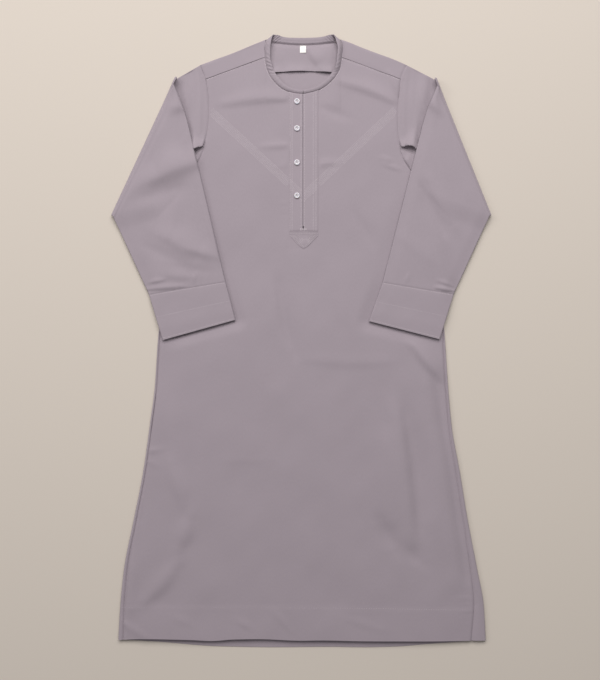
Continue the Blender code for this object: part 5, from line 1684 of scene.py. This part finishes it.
class ThobeYoke(bpy.types.Operator):
    """Makes the yoke over the shoulders and its lining inside the neck"""
    bl_idname = "thobe.yoke"
    bl_label = "Yoke"

    def execute(self, context):
        cloth = context.scene.thobe_cloth
        cell, wall, finish = cloth.cell / MM, cloth.wall / MM, suiting(context)
        outer = yoke(cell, wall, finish)
        lining = yoke_lining(cell / FINE_CELL, wall, finish)
        return {"FINISHED"}


class ThobePlacket(bpy.types.Operator):
    """Makes the two strips of the placket and the pointed tab at its foot"""
    bl_idname = "thobe.placket"
    bl_label = "Placket"

    def execute(self, context):
        cloth = context.scene.thobe_cloth
        placket(cloth.cell / MM, cloth.wall / MM, suiting(context))
        return {"FINISHED"}


class ThobeNeckband(bpy.types.Operator):
    """Makes the stand-up neckband and the bare size tab behind it"""
    bl_idname = "thobe.neckband"
    bl_label = "Neckband"

    def execute(self, context):
        cloth = context.scene.thobe_cloth
        band = neckband(cloth.lined_wall / MM, suiting(context))
        tab = label_tab(TAPE_WALL, shared("polyester_satin_tape_woven", satin_tape))
        return {"FINISHED"}


class ThobeSleeves(bpy.types.Operator):
    """Makes both sleeves, folded over the front, and their cuffs"""
    bl_idname = "thobe.sleeves"
    bl_label = "Sleeves"

    def execute(self, context):
        cloth = context.scene.thobe_cloth
        cell, finish = cloth.cell / MM, suiting(context)
        for name, sleeve in SLEEVES.items():
            tube = sleeve_tube(name, sleeve, cell, cloth.wall / MM, finish)
            cuff = cuff_tube(name, sleeve, cell, cloth.lined_wall / MM, finish)
        return {"FINISHED"}


class ThobeButtonRow(bpy.types.Operator):
    """Makes the four fastened buttons and the thread through them"""
    bl_idname = "thobe.buttons"
    bl_label = "Buttons"

    def execute(self, context):
        settings = context.scene.thobe_buttons
        finish = shared("cast_polyester_pearl_turned", moulded_button, settings)
        add_buttons(settings, finish, thread(context))
        return {"FINISHED"}


class ThobeStitches(bpy.types.Operator):
    """Sews the placket, chest bands, hem, neck, shoulders, cuffs and label"""
    bl_idname = "thobe.stitches"
    bl_label = "Stitching"

    def execute(self, context):
        sewing, cloth = context.scene.thobe_stitching, context.scene.thobe_cloth
        wall, lined, finish = cloth.wall / MM, cloth.lined_wall / MM, thread(context)
        rows, pitch = sewing.band_rows, sewing.band_pitch / MM
        plain = (sewing.pitch, sewing.length, sewing.thickness)
        close = (sewing.close_pitch, sewing.close_length, sewing.thickness * CLOSE_THREAD)
        hidden = [size * share for size, share in zip(plain, HIDDEN_STITCH)]
        for seed, (name, guides, size) in enumerate((
                ("placket_stitches", placket_guides(wall), plain),
                ("chest_band_stitches", band_guides(wall, rows, pitch), close),
                ("placket_band_stitches", band_ends_guides(wall, rows, pitch), close),
                ("hem_stitches", hem_guides(wall), hidden),
                ("neck_stitches", neck_guides(wall), plain),
                ("cuff_stitches", cuff_guides(lined), plain),
                ("label_stitches", label_guides(), close)), 1):
            sew(name, guides, *size, seed, finish)
        return {"FINISHED"}


class ThobeStageSetting(bpy.types.Operator):
    """Makes the floor, the window and side lights, the even sky and the camera straight above"""
    bl_idname = "thobe.stage"
    bl_label = "Stage"

    def execute(self, context):
        stage = context.scene.thobe_stage
        mesh = bpy.data.meshes.new("floor")
        corners = [(x * FLOOR_HALF, y * FLOOR_HALF, FLOOR_Z * MM)
                   for x, y in ((-1, -1), (1, -1), (1, 1), (-1, 1))]
        mesh.from_pydata(corners, [], [(0, 1, 2, 3)])
        mesh.materials.append(matt_board(stage))
        floor = bpy.data.objects.new("floor", mesh)
        context.scene.collection.objects.link(floor)

        lamps = (("window", WINDOW_PLACE, WINDOW_SIZE, stage.light_power),
                 ("side_panel", SIDE_PLACE, SIDE_SIZE, stage.side_power))
        for name, place, size, power in lamps:
            light = bpy.data.lights.new(name, "AREA")
            light.shape, light.size, light.size_y = "RECTANGLE", *size
            light.energy, light.color = power, LAMP_COLOUR
            lamp = bpy.data.objects.new(name, light)
            lamp.location = place
            lamp.rotation_euler = (-lamp.location).to_track_quat("-Z", "Y").to_euler()
            context.scene.collection.objects.link(lamp)

        world = bpy.data.worlds.new("sky")
        world.use_nodes = True
        background = world.node_tree.nodes["Background"]
        background.inputs["Color"].default_value = SKY_COLOUR
        background.inputs["Strength"].default_value = stage.sky
        context.scene.world = world

        lens = bpy.data.cameras.new("camera")
        lens.lens, lens.sensor_width = LENS, SENSOR
        camera = bpy.data.objects.new("camera", lens)
        camera.location = (CAMERA_X, CAMERA_Y, stage.camera_height)
        context.scene.collection.objects.link(camera)
        context.scene.camera = camera
        context.scene.view_settings.view_transform = "Standard"
        return {"FINISHED"}


OPERATORS = (ThobeBody, ThobeYoke, ThobePlacket, ThobeNeckband, ThobeSleeves, ThobeButtonRow,
             ThobeStitches, ThobeStageSetting)
SETTINGS = {"thobe_cloth": ThobeCloth, "thobe_stitching": ThobeStitching,
            "thobe_buttons": ThobeButtons, "thobe_stage": ThobeStage}


class ThobePanel(bpy.types.Panel):
    """Lists the robe's pieces and their settings"""
    bl_idname = "VIEW3D_PT_thobe"
    bl_label = "Thobe Robe"
    bl_space_type = "VIEW_3D"
    bl_region_type = "UI"
    bl_category = "Thobe"

    def draw(self, context):
        for operator in OPERATORS:
            self.layout.operator(operator.bl_idname)
        for name, group in SETTINGS.items():
            column = self.layout.column(align=True)
            for key in group.__annotations__:
                column.prop(getattr(context.scene, name), key)


def register():
    for group in (*SETTINGS.values(), *OPERATORS, ThobePanel):
        bpy.utils.register_class(group)
    for name, group in SETTINGS.items():
        setattr(bpy.types.Scene, name, PointerProperty(type=group))


def unregister():
    for name in SETTINGS:
        delattr(bpy.types.Scene, name)
    for group in reversed((*SETTINGS.values(), *OPERATORS, ThobePanel)):
        bpy.utils.unregister_class(group)


def main():
    register()
    for operator in OPERATORS:
        family, name = operator.bl_idname.split(".")
        getattr(getattr(bpy.ops, family), name)()


if __name__ == "__main__":
    main()
